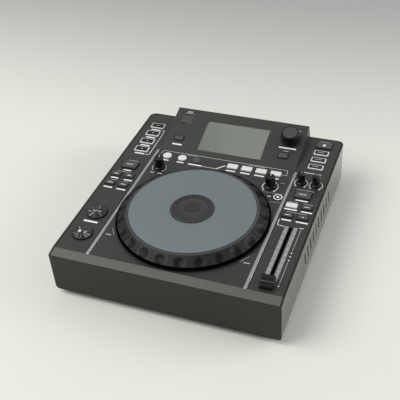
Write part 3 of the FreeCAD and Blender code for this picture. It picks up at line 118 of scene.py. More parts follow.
def turned(points, steps=64, closed=False, start=0.0, sweep=360.0):
    # a profile of (radius, height) points turned about the upright axis, angles in degrees
    part = bmesh.new()
    verts = [part.verts.new((r, 0, z)) for r, z in points]
    pairs = list(zip(verts, verts[1:])) + ([(verts[-1], verts[0])] if closed else [])
    profile = verts + [part.edges.new(pair) for pair in pairs]
    full = sweep >= 360
    if closed and not full:
        profile.append(part.faces.new(verts))
    turn = Matrix.Rotation(math.radians(start), 3, "Z")
    bmesh.ops.rotate(part, cent=(0, 0, 0), matrix=turn, verts=verts)
    bmesh.ops.spin(part, geom=profile, cent=(0, 0, 0), axis=(0, 0, 1), angle=math.radians(sweep),
                   steps=steps, use_merge=full, use_duplicate=False)
    return facing(part)


def arc(radius, width, height, start=0.0, end=360.0, steps=36):
    # a flat band along part of a circle
    inner, outer = radius - width / 2, radius + width / 2
    corners = [(inner, 0), (outer, 0), (outer, height), (inner, height)]
    return turned(corners, steps, True, start, end - start)


def disc(radius, height, sides=24):
    part = bmesh.new()
    bmesh.ops.create_cone(part, cap_ends=True, segments=sides, radius1=radius, radius2=radius, depth=height)
    bmesh.ops.translate(part, vec=(0, 0, height / 2), verts=part.verts)
    return part


def moved(part, x=0.0, y=0.0, z=0.0, turn=0.0, axis="Z"):
    matrix = Matrix.Rotation(math.radians(turn), 3, axis)
    bmesh.ops.rotate(part, cent=(0, 0, 0), matrix=matrix, verts=part.verts)
    bmesh.ops.translate(part, vec=(x, y, z), verts=part.verts)
    return part


def stroke(a, b, width, height):
    # a flat bar from one point to another
    run = Vector(b) - Vector(a)
    bar = block((0, 0, height / 2), (run.length + width, width, height))
    middle = (Vector(a) + Vector(b)) / 2
    return moved(bar, middle.x, middle.y, 0, math.degrees(math.atan2(run.y, run.x)))


def ribbed(part, ribs, depth, low, high, beyond):
    # upright ribs on what lies between two heights and beyond a radius
    for v in part.verts:
        if low < v.co.z < high and v.co.xy.length > beyond:
            wave = math.cos(math.atan2(v.co.y, v.co.x) * ribs)
            v.co.x *= 1 - depth * (1 - wave)
            v.co.y *= 1 - depth * (1 - wave)
    return part


class Piece:
    # gathers shapes with their finishes, then becomes one object that rides on a CAD body
    def __init__(self, name, place):
        self.name = name
        self.place = place
        self.bm = bmesh.new()
        self.finishes = []

    def add(self, part, finish):
        if finish not in self.finishes:
            self.finishes.append(finish)
        for face in part.faces:
            face.material_index = self.finishes.index(finish)
        part.transform(self.place)
        spare = bpy.data.meshes.new("spare")
        part.to_mesh(spare)
        part.free()
        self.bm.from_mesh(spare)
        bpy.data.meshes.remove(spare)

    def finish(self, bodyName, slotName, stands=(), smoothAngle=32):
        mesh = bpy.data.meshes.new(self.name)
        self.bm.to_mesh(mesh)
        self.bm.free()
        for made in self.finishes:
            mesh.materials.append(made)
        mesh.shade_smooth()
        mesh.set_sharp_from_angle(angle=math.radians(smoothAngle))
        piece = bpy.data.objects.new(self.name, mesh)
        bpy.context.scene.collection.objects.link(piece)
        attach(piece, bodyName)
        if stands:
            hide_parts(*stands)
        return piece


def softCopy(node, name, finish, bodyName, slotName, edge, segments=2):
    # a merged copy of a CAD node's mesh with small round edges, in its place
    bm = bmesh.new()
    bm.from_mesh(frame["nodes"][node].data)
    bmesh.ops.remove_doubles(bm, verts=bm.verts, dist=2e-6)
    bmesh.ops.dissolve_limit(bm, angle_limit=math.radians(0.5), verts=bm.verts, edges=bm.edges,
                             use_dissolve_boundaries=False)
    copied = Piece(name, Matrix.Identity(4))
    copied.add(bm, finish)
    piece = copied.finish(bodyName, slotName, [node], 30)
    soft = piece.modifiers.new("softEdge", "BEVEL")
    soft.width = edge * mm
    soft.segments = segments
    soft.limit_method = "ANGLE"
    soft.angle_limit = math.radians(35)
    return piece


def dress(node, finish):
    # a CAD node that keeps its shape takes a finish of its own
    materials = frame["nodes"][node].data.materials
    materials.clear()
    materials.append(finish)


# finishes

class Value:
    # a socket that takes part in sums
    def __init__(self, paint, socket):
        self.paint = paint
        self.socket = socket

    def __add__(self, other):
        return self.paint.maths("ADD", self, other)

    def __sub__(self, other):
        return self.paint.maths("SUBTRACT", self, other)

    def __rsub__(self, other):
        return self.paint.maths("SUBTRACT", other, self)

    def __mul__(self, other):
        return self.paint.maths("MULTIPLY", self, other)

    def __truediv__(self, other):
        return self.paint.maths("DIVIDE", self, other)

    def __gt__(self, other):
        return self.paint.maths("GREATER_THAN", self, other)

    def __lt__(self, other):
        return self.paint.maths("LESS_THAN", self, other)

    def __pow__(self, other):
        return self.paint.maths("POWER", self, other)

    def __abs__(self):
        return self.paint.maths("ABSOLUTE", self)

    __radd__ = __add__
    __rmul__ = __mul__


class Paint:
    # one material: constants go straight on the shader, varying values come through feed
    def __init__(self, name, **constants):
        self.material = bpy.data.materials.new(name)
        self.material.use_nodes = True
        self.tree = self.material.node_tree
        self.shader = self.tree.nodes["Principled BSDF"]
        for key, value in constants.items():
            self.shader.inputs[key.replace("_", " ")].default_value = value
        self.place = self.node("ShaderNodeTexCoord", output="Object")

    def node(self, kind, settings=None, inputs=None, output=0):
        made = self.tree.nodes.new(kind)
        for key, value in (settings or {}).items():
            setattr(made, key, value)
        pairs = inputs.items() if isinstance(inputs, dict) else enumerate(inputs or [])
        for key, value in pairs:
            if isinstance(value, Value):
                self.tree.links.new(value.socket, made.inputs[key])
            else:
                made.inputs[key].default_value = value
        return Value(self, made.outputs[output])

    def maths(self, operation, *values):
        return self.node("ShaderNodeMath", dict(operation=operation), values)

    def vector(self, *values):
        return self.node("ShaderNodeCombineXYZ", None, values)

    def axes(self):
        split = self.node("ShaderNodeSeparateXYZ", None, [self.place])
        return [Value(self, socket) for socket in split.socket.node.outputs]

    def polar(self, centre):
        # distance in millimetres and direction from an upright axis, seen from above
        x, y, z = self.axes()
        east, north = (x - centre.x) / mm, (y - centre.y) / mm
        return (east * east + north * north) ** 0.5, self.maths("ARCTAN2", north, east)

    def noise(self, scale, detail=2.0, rough=0.5, vector=None):
        return self.node("ShaderNodeTexNoise", None, dict(
            Vector=vector or self.place, Scale=scale, Detail=detail, Roughness=rough), "Fac")

    def blend(self, factor, first, second):
        return self.node("ShaderNodeMix", dict(data_type="RGBA"), {0: factor, 6: first, 7: second}, 2)

    def ease(self, value, start, end, low=0.0, high=1.0, how="SMOOTHSTEP"):
        # goes from low to high while the value goes from start to end
        return self.node("ShaderNodeMapRange", dict(interpolation_type=how), [value, start, end, low, high])

    def bump(self, height, depth):
        return self.node("ShaderNodeBump", None, dict(Height=height, Distance=depth * mm))

    def feed(self, **links):
        for key, value in links.items():
            self.tree.links.new(value.socket, self.shader.inputs[key.replace("_", " ")])
        return self.material


def grey(level, warm=0.0):
    return (level * (1 + warm), level, level * (1 - warm), 1.0)


def shades(colour, darker, lighter):
    # a darker and a lighter form of a colour
    return [tuple(min(1.0, level * k) for level in colour[:3]) + (1.0,) for k in (1 - darker, 1 + lighter)]


def moulded(name, colour, roughness, grain, depth, patchy=0.12, **constants):
    # moulded or painted surface: fine grain, slow tone change, uneven gloss
    paint = Paint(name, **constants)
    fine = paint.noise(grain, 3.0, 0.6)
    slow = paint.noise(18.0, 3.0, 0.55)
    speck = paint.noise(grain * 0.35)
    tone = paint.blend(slow * 0.6 + speck * 0.4, *shades(colour, patchy, patchy))
    gloss = slow * 0.08 + fine * 0.06 + (roughness - 0.07)
    return paint.feed(Base_Color=tone, Roughness=gloss, Normal=paint.bump(fine, depth))


def metal(name, colour, roughness, stretch=(60.0, 2500.0, 2500.0)):
    # drawn or brushed metal: streaks along one axis
    paint = Paint(name, Metallic=1.0)
    along = paint.node("ShaderNodeMapping", None, dict(Vector=paint.place, Scale=stretch))
    streak = paint.noise(1.0, 3.0, 0.6, along)
    slow = paint.noise(30.0)
    tone = paint.blend(streak, *shades(colour, 0.14, 0.1))
    gloss = streak * 0.12 + slow * 0.06 + (roughness - 0.09)
    return paint.feed(Base_Color=tone, Roughness=gloss, Normal=paint.bump(streak, 0.004))


housingPaint = moulded("housingSatin", grey(0.026, 0.03), 0.42, 2600.0, 0.01)
flapPaint = moulded("flapSatin", grey(0.046, 0.02), 0.42, 2600.0, 0.01)
# near-black used only as painted shade, in the grooves by the silver strips and the recess by the flap
shadeBlack = moulded("paintedShadeBlack", grey(0.004), 0.55, 1800.0, 0.01)
# near-black rubber without sheen, used as painted shadow at the foot of the jog ring
paintedShadowRubber = moulded("paintedShadowRubber", grey(0.0015), 0.7, 1900.0, 0.03, 0.2, Specular_IOR_Level=0.0)
inkPaint = moulded("whitePrint", grey(0.74), 0.5, 3000.0, 0.002, 0.04)
dimInk = moulded("greyPrint", grey(0.40), 0.5, 3000.0, 0.002, 0.05)
scaleInk = moulded("scalePrint", grey(0.52), 0.5, 3000.0, 0.002, 0.05)
frameInk = moulded("paleFrame", grey(0.62), 0.45, 3000.0, 0.003, 0.05)
knobPaint = moulded("knobBlack", grey(0.003), 0.24, 2400.0, 0.006, 0.15, Specular_IOR_Level=0.3)
knobTop = moulded("knobTop", grey(0.045), 0.38, 2400.0, 0.01)
buttonPaint = moulded("buttonBlack", grey(0.006), 0.36, 2600.0, 0.01, Specular_IOR_Level=0.35)
buttonTop = moulded("buttonTop", grey(0.055), 0.45, 2600.0, 0.01, 0.1)
litPaint = moulded("paleButton", grey(0.62), 0.35, 2000.0, 0.004, 0.04, Coat_Weight=0.3)
innerPlastic = moulded("innerPlastic", grey(0.03), 0.5, 1200.0, 0.02)
footRubber = moulded("footRubber", grey(0.02, 0.03), 0.75, 1800.0, 0.06, 0.2)
steel = metal("turnedSteel", (0.56, 0.56, 0.55, 1.0), 0.28)
sheet = metal("zincSheet", (0.50, 0.51, 0.50, 1.0), 0.38, (900.0, 900.0, 900.0))
screwMetal = metal("darkScrew", (0.16, 0.16, 0.16, 1.0), 0.35)
darkSteel = metal("blackenedSteel", (0.02, 0.02, 0.02, 1.0), 0.45)
stripMetal = metal("stripSilver", (0.52, 0.49, 0.54, 1.0), 0.40, (2500.0, 40.0, 2500.0))
print("plain finishes made")


# case, deck and display housing: CAD shapes with soft edges

# the deck's sloped front strip takes a paler colour as a painted highlight
shell = dict(deck=grey(0.023, 0.03), slope=grey(0.078, 0.03), slopeDepth=12.8, slopeDrop=2.5,
             case=grey(0.004, 0.3), sideSkin=0.4)


def satin(paint, colour, spread, grain):
    # tone that drifts slowly under a fine grain, its uneven gloss, and the grain
    fine = paint.noise(grain, 3.0, 0.6)
    slow = paint.noise(18.0, 3.0, 0.55)
    tone = paint.blend(slow * 0.6 + fine * 0.4, *shades(colour, spread, spread))
    return tone, slow * 0.08 + fine * 0.06, fine


def deckFinish():
    # satin deck, with a painted highlight: a paler colour on the sloped strip along its front edge
    paint = Paint("deckSatin")
    x, y, z = paint.axes()
    tone, gloss, fine = satin(paint, shell["deck"], 0.12, 2600.0)
    nearFront = y < (caseLow.y + shell["slopeDepth"]) * mm
    onTop = z > (caseHigh.z - shell["slopeDrop"]) * mm
    # painted highlight on the sloped front strip
    tone = paint.blend(nearFront * onTop, tone, shell["slope"])
    return paint.feed(Base_Color=tone, Roughness=gloss + 0.36, Normal=paint.bump(fine, 0.012))


def caseFinish():
    # grained shell, glossier on its two side walls
    paint = Paint("caseGrain", Specular_IOR_Level=0.45, Coat_Roughness=0.22)
    x, y, z = paint.axes()
    tone, gloss, fine = satin(paint, shell["case"], 0.3, 1500.0)
    side = abs(x) > (caseHigh.x - shell["sideSkin"]) * mm
    return paint.feed(Base_Color=tone, Coat_Weight=side, Roughness=gloss + 0.30,
                      Normal=paint.bump(fine, 0.02))


casePaint = caseFinish()
softCopy("lower_case", "lowerCase", casePaint, "chassis", "case", 0.5)
softCopy("deck_cover", "deckCover", deckFinish(), "chassis", "cover", 0.25)
softCopy("display_housing", "displayHousing", housingPaint, "chassis", "housing", 0.5, 3)
softCopy("usb_cover", "stickFlap", flapPaint, "usb_cover", "cover", 0.25)
softCopy("trim_strips", "trimStrips", stripMetal, "chassis", "silver", 0.25)
print("case, deck and housing made")


# jog wheel: heights above the deck, radii from the spindle, angles in degrees

jog = dict(radius=100.3, floorGap=1.0, bandHeight=3.0, lip=1.3, coneInner=86.4, coneTop=13.4, coneRows=16,
           rimOuter=85.0, rimTop=14.0, rimInner=82.6, shelf=11.5, shelfInner=70.0, shelfUnder=9.0,
           hollowInner=84.0, hollowOuter=95.0, hollowStep=3.0, steps=288,
           dimples=24, dimpleAngle=-94.6, dimpleRadius=93.0, dimpleRun=6.6, dimpleSpan=7.4, dimpleDepth=1.7,
           shadeAcross=6.6, shadeAlong=5.4, bumpAngle=-87.1, bumpRadii=(87.6, 91.0, 94.8), bumpSize=1.15)
jogAxis = axisOn(deckPlace, "jog_wheel_spin")
jogPlace = deckPlace @ Matrix.Translation((jogAxis.x, jogAxis.y, 0))
coneOuter, coneLow = jog["radius"] - jog["lip"], jog["bandHeight"] + jog["lip"]
coneSlope = math.atan2(jog["coneTop"] - coneLow, coneOuter - jog["coneInner"])
dimplePitch = math.tau / jog["dimples"]


def rubberFinish():
    # soft rubber with painted shade in the finger dimples, and dusty mottling on the rest
    paint = Paint("jogRubber", Specular_IOR_Level=0.16)
    radius, angle = paint.polar(jogPlace.translation)
    turn = paint.maths("FRACT", (angle - math.radians(jog["dimpleAngle"])) / dimplePitch + 100.5)
    across = (turn - 0.5) * radius * (dimplePitch / jog["shadeAcross"])
    along = (radius - jog["dimpleRadius"]) / jog["shadeAlong"]
    # painted shade: near black in each finger dimple, lifting to dusty mottling outside it
    unshaded = paint.ease(across * across + along * along, 0.35, 1.25)
    fine = paint.noise(1900.0, 4.0, 0.65)
    dust = paint.noise(60.0, 5.0, 0.7)
    tone = paint.blend(unshaded * (dust * 0.5 + fine * 0.2 + 0.3), grey(0.002, 0.03), grey(0.024, 0.04))
    return paint.feed(Base_Color=tone, Roughness=dust * 0.14 + fine * 0.08 + 0.34,
                      Normal=paint.bump(fine * 0.7 + dust * 0.3, 0.03))


def coneRing():
    # foot, cone and rim on the outside, shelf and hollow on the inside
    edge, gap, rows = jog["radius"], jog["floorGap"], jog["coneRows"]
    foot = [(edge - 1.2, gap + 0.1), (edge - 0.4, gap + 0.9), (edge - 0.4, jog["bandHeight"] + 0.6)]
    run, climb = (jog["coneInner"] - coneOuter) / rows, (jog["coneTop"] - coneLow) / rows
    cone = [(coneOuter + run * i, coneLow + climb * i) for i in range(rows + 1)]
    outer, inner, top = jog["rimOuter"], jog["rimInner"], jog["rimTop"]
    rim = [(outer + 0.4, top - 0.15), (outer - 0.1, top), (inner + 0.4, top), (inner, top - 0.4)]
    under = [(inner, jog["shelf"]), (jog["shelfInner"], jog["shelf"]), (jog["shelfInner"], jog["shelfUnder"]),
             (jog["hollowInner"], jog["shelfUnder"]), (jog["hollowOuter"], jog["hollowStep"]),
             (jog["hollowOuter"], gap)]
    return turned(foot + cone + rim + under, jog["steps"], closed=True)


def pressDimples(part):
    # pushes the cone in, square to its slope, at every finger dimple
    inward, down = -math.sin(coneSlope), -math.cos(coneSlope)
    for v in part.verts:
        radius = v.co.xy.length
        if not jog["coneInner"] - 0.1 < radius < coneOuter + 0.1 or v.co.z < coneLow - 0.1:
            continue
        angle = math.atan2(v.co.y, v.co.x) - math.radians(jog["dimpleAngle"])
        off = (angle + dimplePitch / 2) % dimplePitch - dimplePitch / 2
        across = off * radius / jog["dimpleSpan"]
        along = (radius - jog["dimpleRadius"]) / math.cos(coneSlope) / jog["dimpleRun"]
        bowl = 1 - across * across - along * along
        if bowl > 0:
            depth = jog["dimpleDepth"] * bowl ** 1.2 / (0.55 + 0.45 * bowl)
            outward = Vector((v.co.x, v.co.y, 0)).normalized()
            v.co += (outward * inward + Vector((0, 0, down))) * depth


def gripBump(radius, size, turn):
    # a low round bump on the cone
    bump = bmesh.new()
    bmesh.ops.create_icosphere(bump, subdivisions=2, radius=size)
    bmesh.ops.scale(bump, vec=(1, 1, 0.8), verts=bump.verts)
    moved(bump, turn=math.degrees(coneSlope), axis="Y")
    moved(bump, radius, 0, coneLow + (coneOuter - radius) * math.tan(coneSlope))
    return moved(bump, turn=turn)


def makeJogRing():
    rubber = rubberFinish()
    piece = Piece("jogRing", jogPlace)
    ring = coneRing()
    pressDimples(ring)
    piece.add(ring, rubber)
    for i in range(jog["dimples"]):
        for row, radius in enumerate(jog["bumpRadii"]):
            size = jog["bumpSize"] * (1 + 0.12 * row)
            piece.add(gripBump(radius, size, jog["bumpAngle"] + math.degrees(i * dimplePitch)), rubber)
    # painted shadow at the foot of the ring: a band of near-black rubber without sheen
    edge, gap, high = jog["radius"], jog["floorGap"], jog["bandHeight"]
    band = [(edge - 1.0, gap), (edge - 0.02, gap + 1.0), (edge - 0.02, high), (edge - 0.36, high + 0.94),
            (edge - 2.6, high + 2.44), (edge - 3.0, high + 1.6), (edge - 3.0, gap)]
    piece.add(turned(band, jog["steps"], closed=True), paintedShadowRubber)
    # the plain rim between rubber and plate
    outer, inner, top = jog["rimOuter"], jog["rimInner"], jog["rimTop"]
    rim = [(outer + 1.0, jog["coneTop"] - 0.2), (outer + 0.5, top + 0.02), (inner + 0.4, top + 0.08),
           (inner - 0.02, top - 0.3), (inner + 0.3, jog["shelf"])]
    piece.add(turned(rim, jog["steps"], closed=True), knobTop)
    return piece.finish("jog_wheel", "jog_rubber", ["jog_ring"], 50)


plate = dict(radius=82.3, hole=28.5, bottom=11.5, top=15.0, edge=0.5, colour=(0.130, 0.155, 0.167, 1.0))


def jogPlateFinish():
    # blue-grey satin with the faint turning marks of a spun plate
    paint = Paint("jogPlateSatin", Metallic=0.15)
    radius = paint.polar(jogPlace.translation)[0]
    rings = paint.noise(1.0, 3.0, 0.7, paint.vector(radius * 1.5, 0.0, 0.0))
    slow = paint.noise(14.0)
    fine = paint.noise(3000.0)
    tone = paint.blend(rings * 0.5 + slow * 0.5, *shades(plate["colour"], 0.05, 0.07))
    return paint.feed(Base_Color=tone, Roughness=rings * 0.08 + fine * 0.06 + 0.40,
                      Normal=paint.bump(rings * 0.6 + fine * 0.4, 0.006))


def makeJogPlate():
    inner, outer, low, high = (plate[key] for key in ("hole", "radius", "bottom", "top"))
    part = turned([(inner, low), (outer, low), (outer, high), (inner, high)], 160, closed=True)
    piece = Piece("jogPlate", jogPlace)
    piece.add(softEdges(part, plate["edge"], 3, 28), jogPlateFinish())
    return piece.finish("jog_wheel", "jog_plate", ["jog_plate"])


cap = dict(radius=28.2, bottom=11.5, top=16.0, dip=0.25, edge=0.2, ring=12.4, ringWidth=0.45, spokes=30,
           spokeInner=14.8, spokeOuter=19.4, rim=27.2, rimWidth=0.35)


def jogCapFinish():
    # dark cap with a thin ring and fine spokes that fade towards the front
    paint = Paint("jogCapPrint", Coat_Weight=0.1, Coat_Roughness=0.12)
    x, y, z = paint.axes()
    radius, angle = paint.polar(jogPlace.translation)
    turn = paint.maths("FRACT", angle * (cap["spokes"] / math.tau) + 100.0)
    ring = abs(radius - cap["ring"]) < cap["ringWidth"]
    rim = abs(radius - cap["rim"]) < cap["rimWidth"]
    spoke = (abs(turn - 0.5) < 0.17) * (radius > cap["spokeInner"]) * (radius < cap["spokeOuter"])
    fade = paint.ease((y - jogPlace.translation.y) / mm, -12.0, 12.0, 0.25, 1.0)
    lines = paint.maths("MAXIMUM", spoke * fade * 0.45, ring * 0.4)
    fine = paint.noise(2600.0)
    sweep = paint.noise(1.0, 2.0, 0.6, paint.vector(angle * 22.0, radius * 0.05, 0.0))
    base = paint.blend(fine * 0.4 + sweep * 0.6, grey(0.004), grey(0.016))
    tone = paint.blend(lines + rim * 0.3, base, grey(0.14))
    return paint.feed(Base_Color=tone, Roughness=fine * 0.08 + 0.36, Normal=paint.bump(fine, 0.008))


def makeJogCap():
    edge, low, high = cap["radius"], cap["bottom"], cap["top"]
    face = high - cap["dip"]
    profile = [(0, low), (edge, low), (edge, face), (edge - 1.4, high), (edge - 2.2, face), (0, face)]
    piece = Piece("jogCap", jogPlace)
    piece.add(softEdges(turned(profile, 96), cap["edge"], angle=28), jogCapFinish())
    return piece.finish("jog_wheel", "jog_cap", ["jog_cap"])


makeJogRing()
makeJogPlate()
makeJogCap()
print("jog wheel made")


# knobs: each stands on the axis of its own joint

knobGap = 0.8  # between the deck or the panel and a knob
pointer = dict(width=0.8, thick=0.16, turn=90)
tallKnob = dict(skirt=8.0, base=6.9, top=6.5, height=16.8, ribs=18)
shortKnob = dict(skirt=6.7, base=5.2, top=4.9, height=15.2, ribs=16)
knobs = dict(left_knob=tallKnob, right_knob=tallKnob, inner_trim_knob=shortKnob, outer_trim_knob=shortKnob)
shaft = dict(radius=2.48, length=12.0, foot=-10.2)


def makeKnob(node, facts):
    low, top = knobGap, knobGap + facts["height"]
    skirt, base, narrow = facts["skirt"], facts["base"], facts["top"]
    rows = 6
    profile = [(0, low), (skirt, low), (skirt, low + 1.7), (skirt - 0.7, low + 2.4), (base, low + 2.6)]
    profile += [(base + (narrow - base) * i / rows, low + 2.8 + (facts["height"] - 4.2) * i / rows)
                for i in range(rows + 1)]
    profile += [(narrow - 0.15, top - 0.7), (narrow - 0.7, top), (narrow - 1.5, top),
                (narrow - 1.9, top - 0.2), (0, top - 0.2)]
    grip = turned(profile, facts["ribs"] * 8)
    axis = axisOn(deckPlace, node + "_turn")
    piece = Piece(node.replace("_", "."), deckPlace @ Matrix.Translation((axis.x, axis.y, 0)))
    piece.add(ribbed(grip, facts["ribs"], 0.018, low + 2.7, top - 1.0, narrow - 0.3), knobPaint)
    wide, thick, turn = pointer["width"], pointer["thick"], pointer["turn"]
    line = block(((narrow - 0.9) / 2 + 1.0, 0, top - thick), (narrow - 2.0, wide, thick))
    piece.add(moved(line, turn=turn), inkPaint)
    side = block((narrow + 0.02, 0, top - 4.2), (0.3, wide, 5.6))
    piece.add(moved(side, turn=turn), inkPaint)
    piece.add(moved(disc(shaft["radius"], shaft["length"], 32), z=shaft["foot"]), steel)
    return piece.finish(node, "knob", [node], 40)


def makeBrowseKnob():
    facts = dict(neck=11.2, grip=14.0, top=11.6, height=16.2, ribs=44)
    top, rows = facts["height"], 7
    foot = [(0, knobGap), (facts["neck"], knobGap), (facts["neck"], 2.8), (13.1, 2.85), (13.8, 3.2),
            (facts["grip"], 3.8)]
    grip = [(13.9 - 0.8 * i / rows, 4.2 + 6.4 * i / rows) for i in range(rows + 1)]
    shoulder = [(12.9, 11.4), (12.5, 13.6), (12.0, 15.2), (11.8, 15.9), (facts["top"], top), (10.6, top)]
    face = [(10.2, top - 0.15), (8.0, top - 0.35), (4.0, top - 0.5), (0, top - 0.55)]
    part = turned(foot + grip + shoulder + face, facts["ribs"] * 6)
    axis = axisOn(panelPlace, "browse_turn")
    piece = Piece("browseKnob", panelPlace @ Matrix.Translation((axis.x, axis.y, 0)))
    piece.add(ribbed(part, facts["ribs"], 0.011, 4.0, 10.8, 12.5), knobPaint)
    piece.add(turned([(0, top - 0.6)] + [(r, z + 0.04) for r, z in reversed(face)], 96), knobTop)
    return piece.finish("browse_knob", "knob", ["browse_knob"], 40)


for knobName, knobFacts in knobs.items():
    makeKnob(knobName, knobFacts)
makeBrowseKnob()
print("knobs made")


# pitch fader

def faderFinish():
    # black slider cap with a painted highlight: a paler line round the foot of its ridge
    line = dict(height=7.0, half=0.3)
    paint = Paint("sliderCap", Specular_IOR_Level=0.4)
    x, y, z = paint.axes()
    fine = paint.noise(2400.0, 3.0, 0.6)
    # painted highlight: a paler band round the cap at this height
    paintedHighlightBand = abs(z - (caseHigh.z + line["height"]) * mm) < line["half"] * mm
    tone = paint.blend(paintedHighlightBand, paint.blend(fine, grey(0.002), grey(0.005)), grey(0.24))
    return paint.feed(Base_Color=tone, Roughness=fine * 0.1 + 0.24, Normal=paint.bump(fine, 0.006))


softCopy("fader_cap", "faderCap", faderFinish(), "fader", "knob", 0.55, 3)
print("pitch fader made")


# buttons: each takes its place, size and rise from its CAD node

stem = dict(flange=1.2, flangeTop=-2.8, flangeBottom=-4.0, radius=1.8, end=-7.0)
ink = 0.05  # how thick a printed mark is
glyphs = dict(  # discs as x, y, radius, sides, turn, and bars as x, y, width, height
    dot=dict(discs=[(0, 0, 1.1, 20, 0)]),
    up=dict(discs=[(0, 0.4, 2.9, 3, 0)], bars=[(0, -2.5, 5.0, 0.9)]),
    next=dict(discs=[(x, 0, 1.5, 3, -90) for x in (-1.2, 1.4)]),
    back=dict(discs=[(x, 0, 1.5, 3, 90) for x in (1.2, -1.4)]),
    play=dict(discs=[(-3.8, 0, 3.0, 3, -90)]),
    pause=dict(bars=[(x, 0, 1.0, 4.6) for x in (3.1, 5.3)]),
    plus=dict(bars=[(0, 0, 2.6, 0.8), (0, 0, 0.8, 2.6)]),
    dashes=dict(bars=[(-2.2, 0, 1.7, 1.1), (0.2, 0, 2.2, 1.1), (2.7, 0, 1.4, 1.1)]),
    wideDashes=dict(bars=[(-4.2, 0, 2.2, 1.2), (-1.2, 0, 2.8, 1.2), (2.4, 0, 3.2, 1.2)]),
    evenDashes=dict(bars=[(x, 0, 2.0, 1.5) for x in (-4.5, -1.5, 1.5, 4.5)]))


def readButton(node, place=deckPlace):
    # middle, width, depth and rise of what shows of a button
    low, high = spanOn(place, node)
    middle = (low + high) / 2
    size = high - low
    return middle.x, middle.y, size.x - 2 * stem["flange"], size.y - 2 * stem["flange"], high.z


def addStem(piece, x, y, wide, deep=None):
    # the flange and stem that hold the button under its cover, round where no depth is given
    low, high = stem["flangeBottom"], stem["flangeTop"]
    if deep:
        size = (wide + 2 * stem["flange"], deep + 2 * stem["flange"], high - low)
        flange = slab((x, y, (low + high) / 2), size, 1.2, 0)
    else:
        flange = moved(disc(wide / 2 + stem["flange"], high - low, 48), x, y, low)
    piece.add(flange, innerPlastic)
    piece.add(moved(disc(stem["radius"], low - stem["end"], 20), x, y, stem["end"]), innerPlastic)


def addGlyph(piece, kind, x, y, z, finish, thick=ink):
    # small generic marks on button tops
    for right, up, radius, sides, turn in glyphs[kind].get("discs", ()):
        piece.add(moved(disc(radius, thick, sides), x + right, y + up, z, turn), finish)
    for right, up, wide, high in glyphs[kind].get("bars", ()):
        piece.add(block((x + right, y + up, z + thick / 2), (wide, high, thick)), finish)


def makeSlabButton(node, finishes, mark=None, place=deckPlace):
    # a soft block, with a paler inset where it has a second finish
    inset = dict(margin=1.3, thick=0.12)
    x, y, wide, deep, rise = readButton(node, place)
    low = stem["flangeTop"]
    piece = Piece(node.replace("_", "."), place)
    piece.add(slab((x, y, (low + rise) / 2), (wide, deep, rise - low), 0.9, 0.45), finishes[0])
    top = rise
    if len(finishes) > 1:
        size = (wide - 2 * inset["margin"], deep - 2 * inset["margin"], inset["thick"])
        piece.add(slab((x, y, rise), size, 0.6, 0.05), finishes[1])
        top += inset["thick"] / 2
    if mark:
        addGlyph(piece, mark, x, y, top, inkPaint)
    addStem(piece, x, y, wide, deep)
    return piece.finish(node, "button", [node])


def makeOutlinedButton(node, mark):
    # pale frame round a darker raised top
    edge = dict(lip=0.9, width=1.5)
    x, y, wide, deep, rise = readButton(node)
    low, lip = stem["flangeTop"], edge["lip"]
    piece = Piece(node.replace("_", "."), deckPlace)
    piece.add(slab((x, y, (low + lip) / 2), (wide, deep, lip - low), 1.0, 0.25), frameInk)
    inner = (wide - 2 * edge["width"], deep - 2 * edge["width"], rise - lip + 0.2)
    piece.add(slab((x, y, (lip + rise) / 2 - 0.1), inner, 0.8, 0.4), buttonPaint)
    addGlyph(piece, mark, x, y, rise, dimInk)
    addStem(piece, x, y, wide, deep)
    return piece.finish(node, "button", [node])


def makeRoundButton(node, finish, slotName="button", ringed=False):
    x, y, wide, deep, rise = readButton(node)
    radius, low = wide / 2, stem["flangeTop"]
    piece = Piece(node.replace("_", "."), deckPlace)
    profile = [(0, low), (radius, low), (radius, rise - 0.5), (radius - 0.15, rise - 0.15),
               (radius - 0.5, rise), (0, rise)]
    piece.add(moved(turned(profile, 48), x, y), finish)
    if ringed:
        piece.add(moved(arc(radius - 0.85, 1.3, ink, steps=48), x, y, rise), inkPaint)
        piece.add(moved(disc(1.9, ink, 28), x, y, rise), inkPaint)
    addStem(piece, x, y, wide)
    return piece.finish(node, slotName, [node])


dome = dict(rim=2.0, rise=3.1, rows=8, facets=20, facetDepth=0.42, facetRun=8.0, plain=1.5,
            streakInner=2.5, streakOuter=12.2, markThick=0.12)


def domeFinish():
    # black clear-coated buttons with painted glints: a few pale streaks that run out from the middle
    middles = (readButton(node)[:2] for node in ("cue_button", "play_button"))
    back, front = (deckPlace @ Vector((x, y, 0)) for x, y in middles)
    paint = Paint("domeBlack", Coat_Weight=0.5, Coat_Roughness=0.05, Specular_IOR_Level=0.25)
    x, y, z = paint.axes()
    rear = y > (back.y + front.y) / 2
    east = (x - back.x) / mm
    north = (y - rear * (back.y - front.y) - front.y) / mm
    radius = (east * east + north * north) ** 0.5
    angle = paint.maths("ARCTAN2", north, east)
    streak = paint.noise(1.0, 2.0, 0.6, paint.vector(angle * 3.4, radius * 0.035, rear * 6.3))
    glint = paint.ease(streak, 0.55, 0.66, 0.0, 0.5, "LINEAR")
    ringed = (radius > dome["streakInner"]) * (radius < dome["streakOuter"])
    fine = paint.noise(900.0, 3.0, 0.6)
    # painted glints: pale streaks mixed into the black
    tone = paint.blend(glint * ringed, grey(0.005), grey(0.55))
    return paint.feed(Base_Color=tone, Roughness=fine * 0.1 + 0.2, Normal=paint.bump(streak, 0.2))


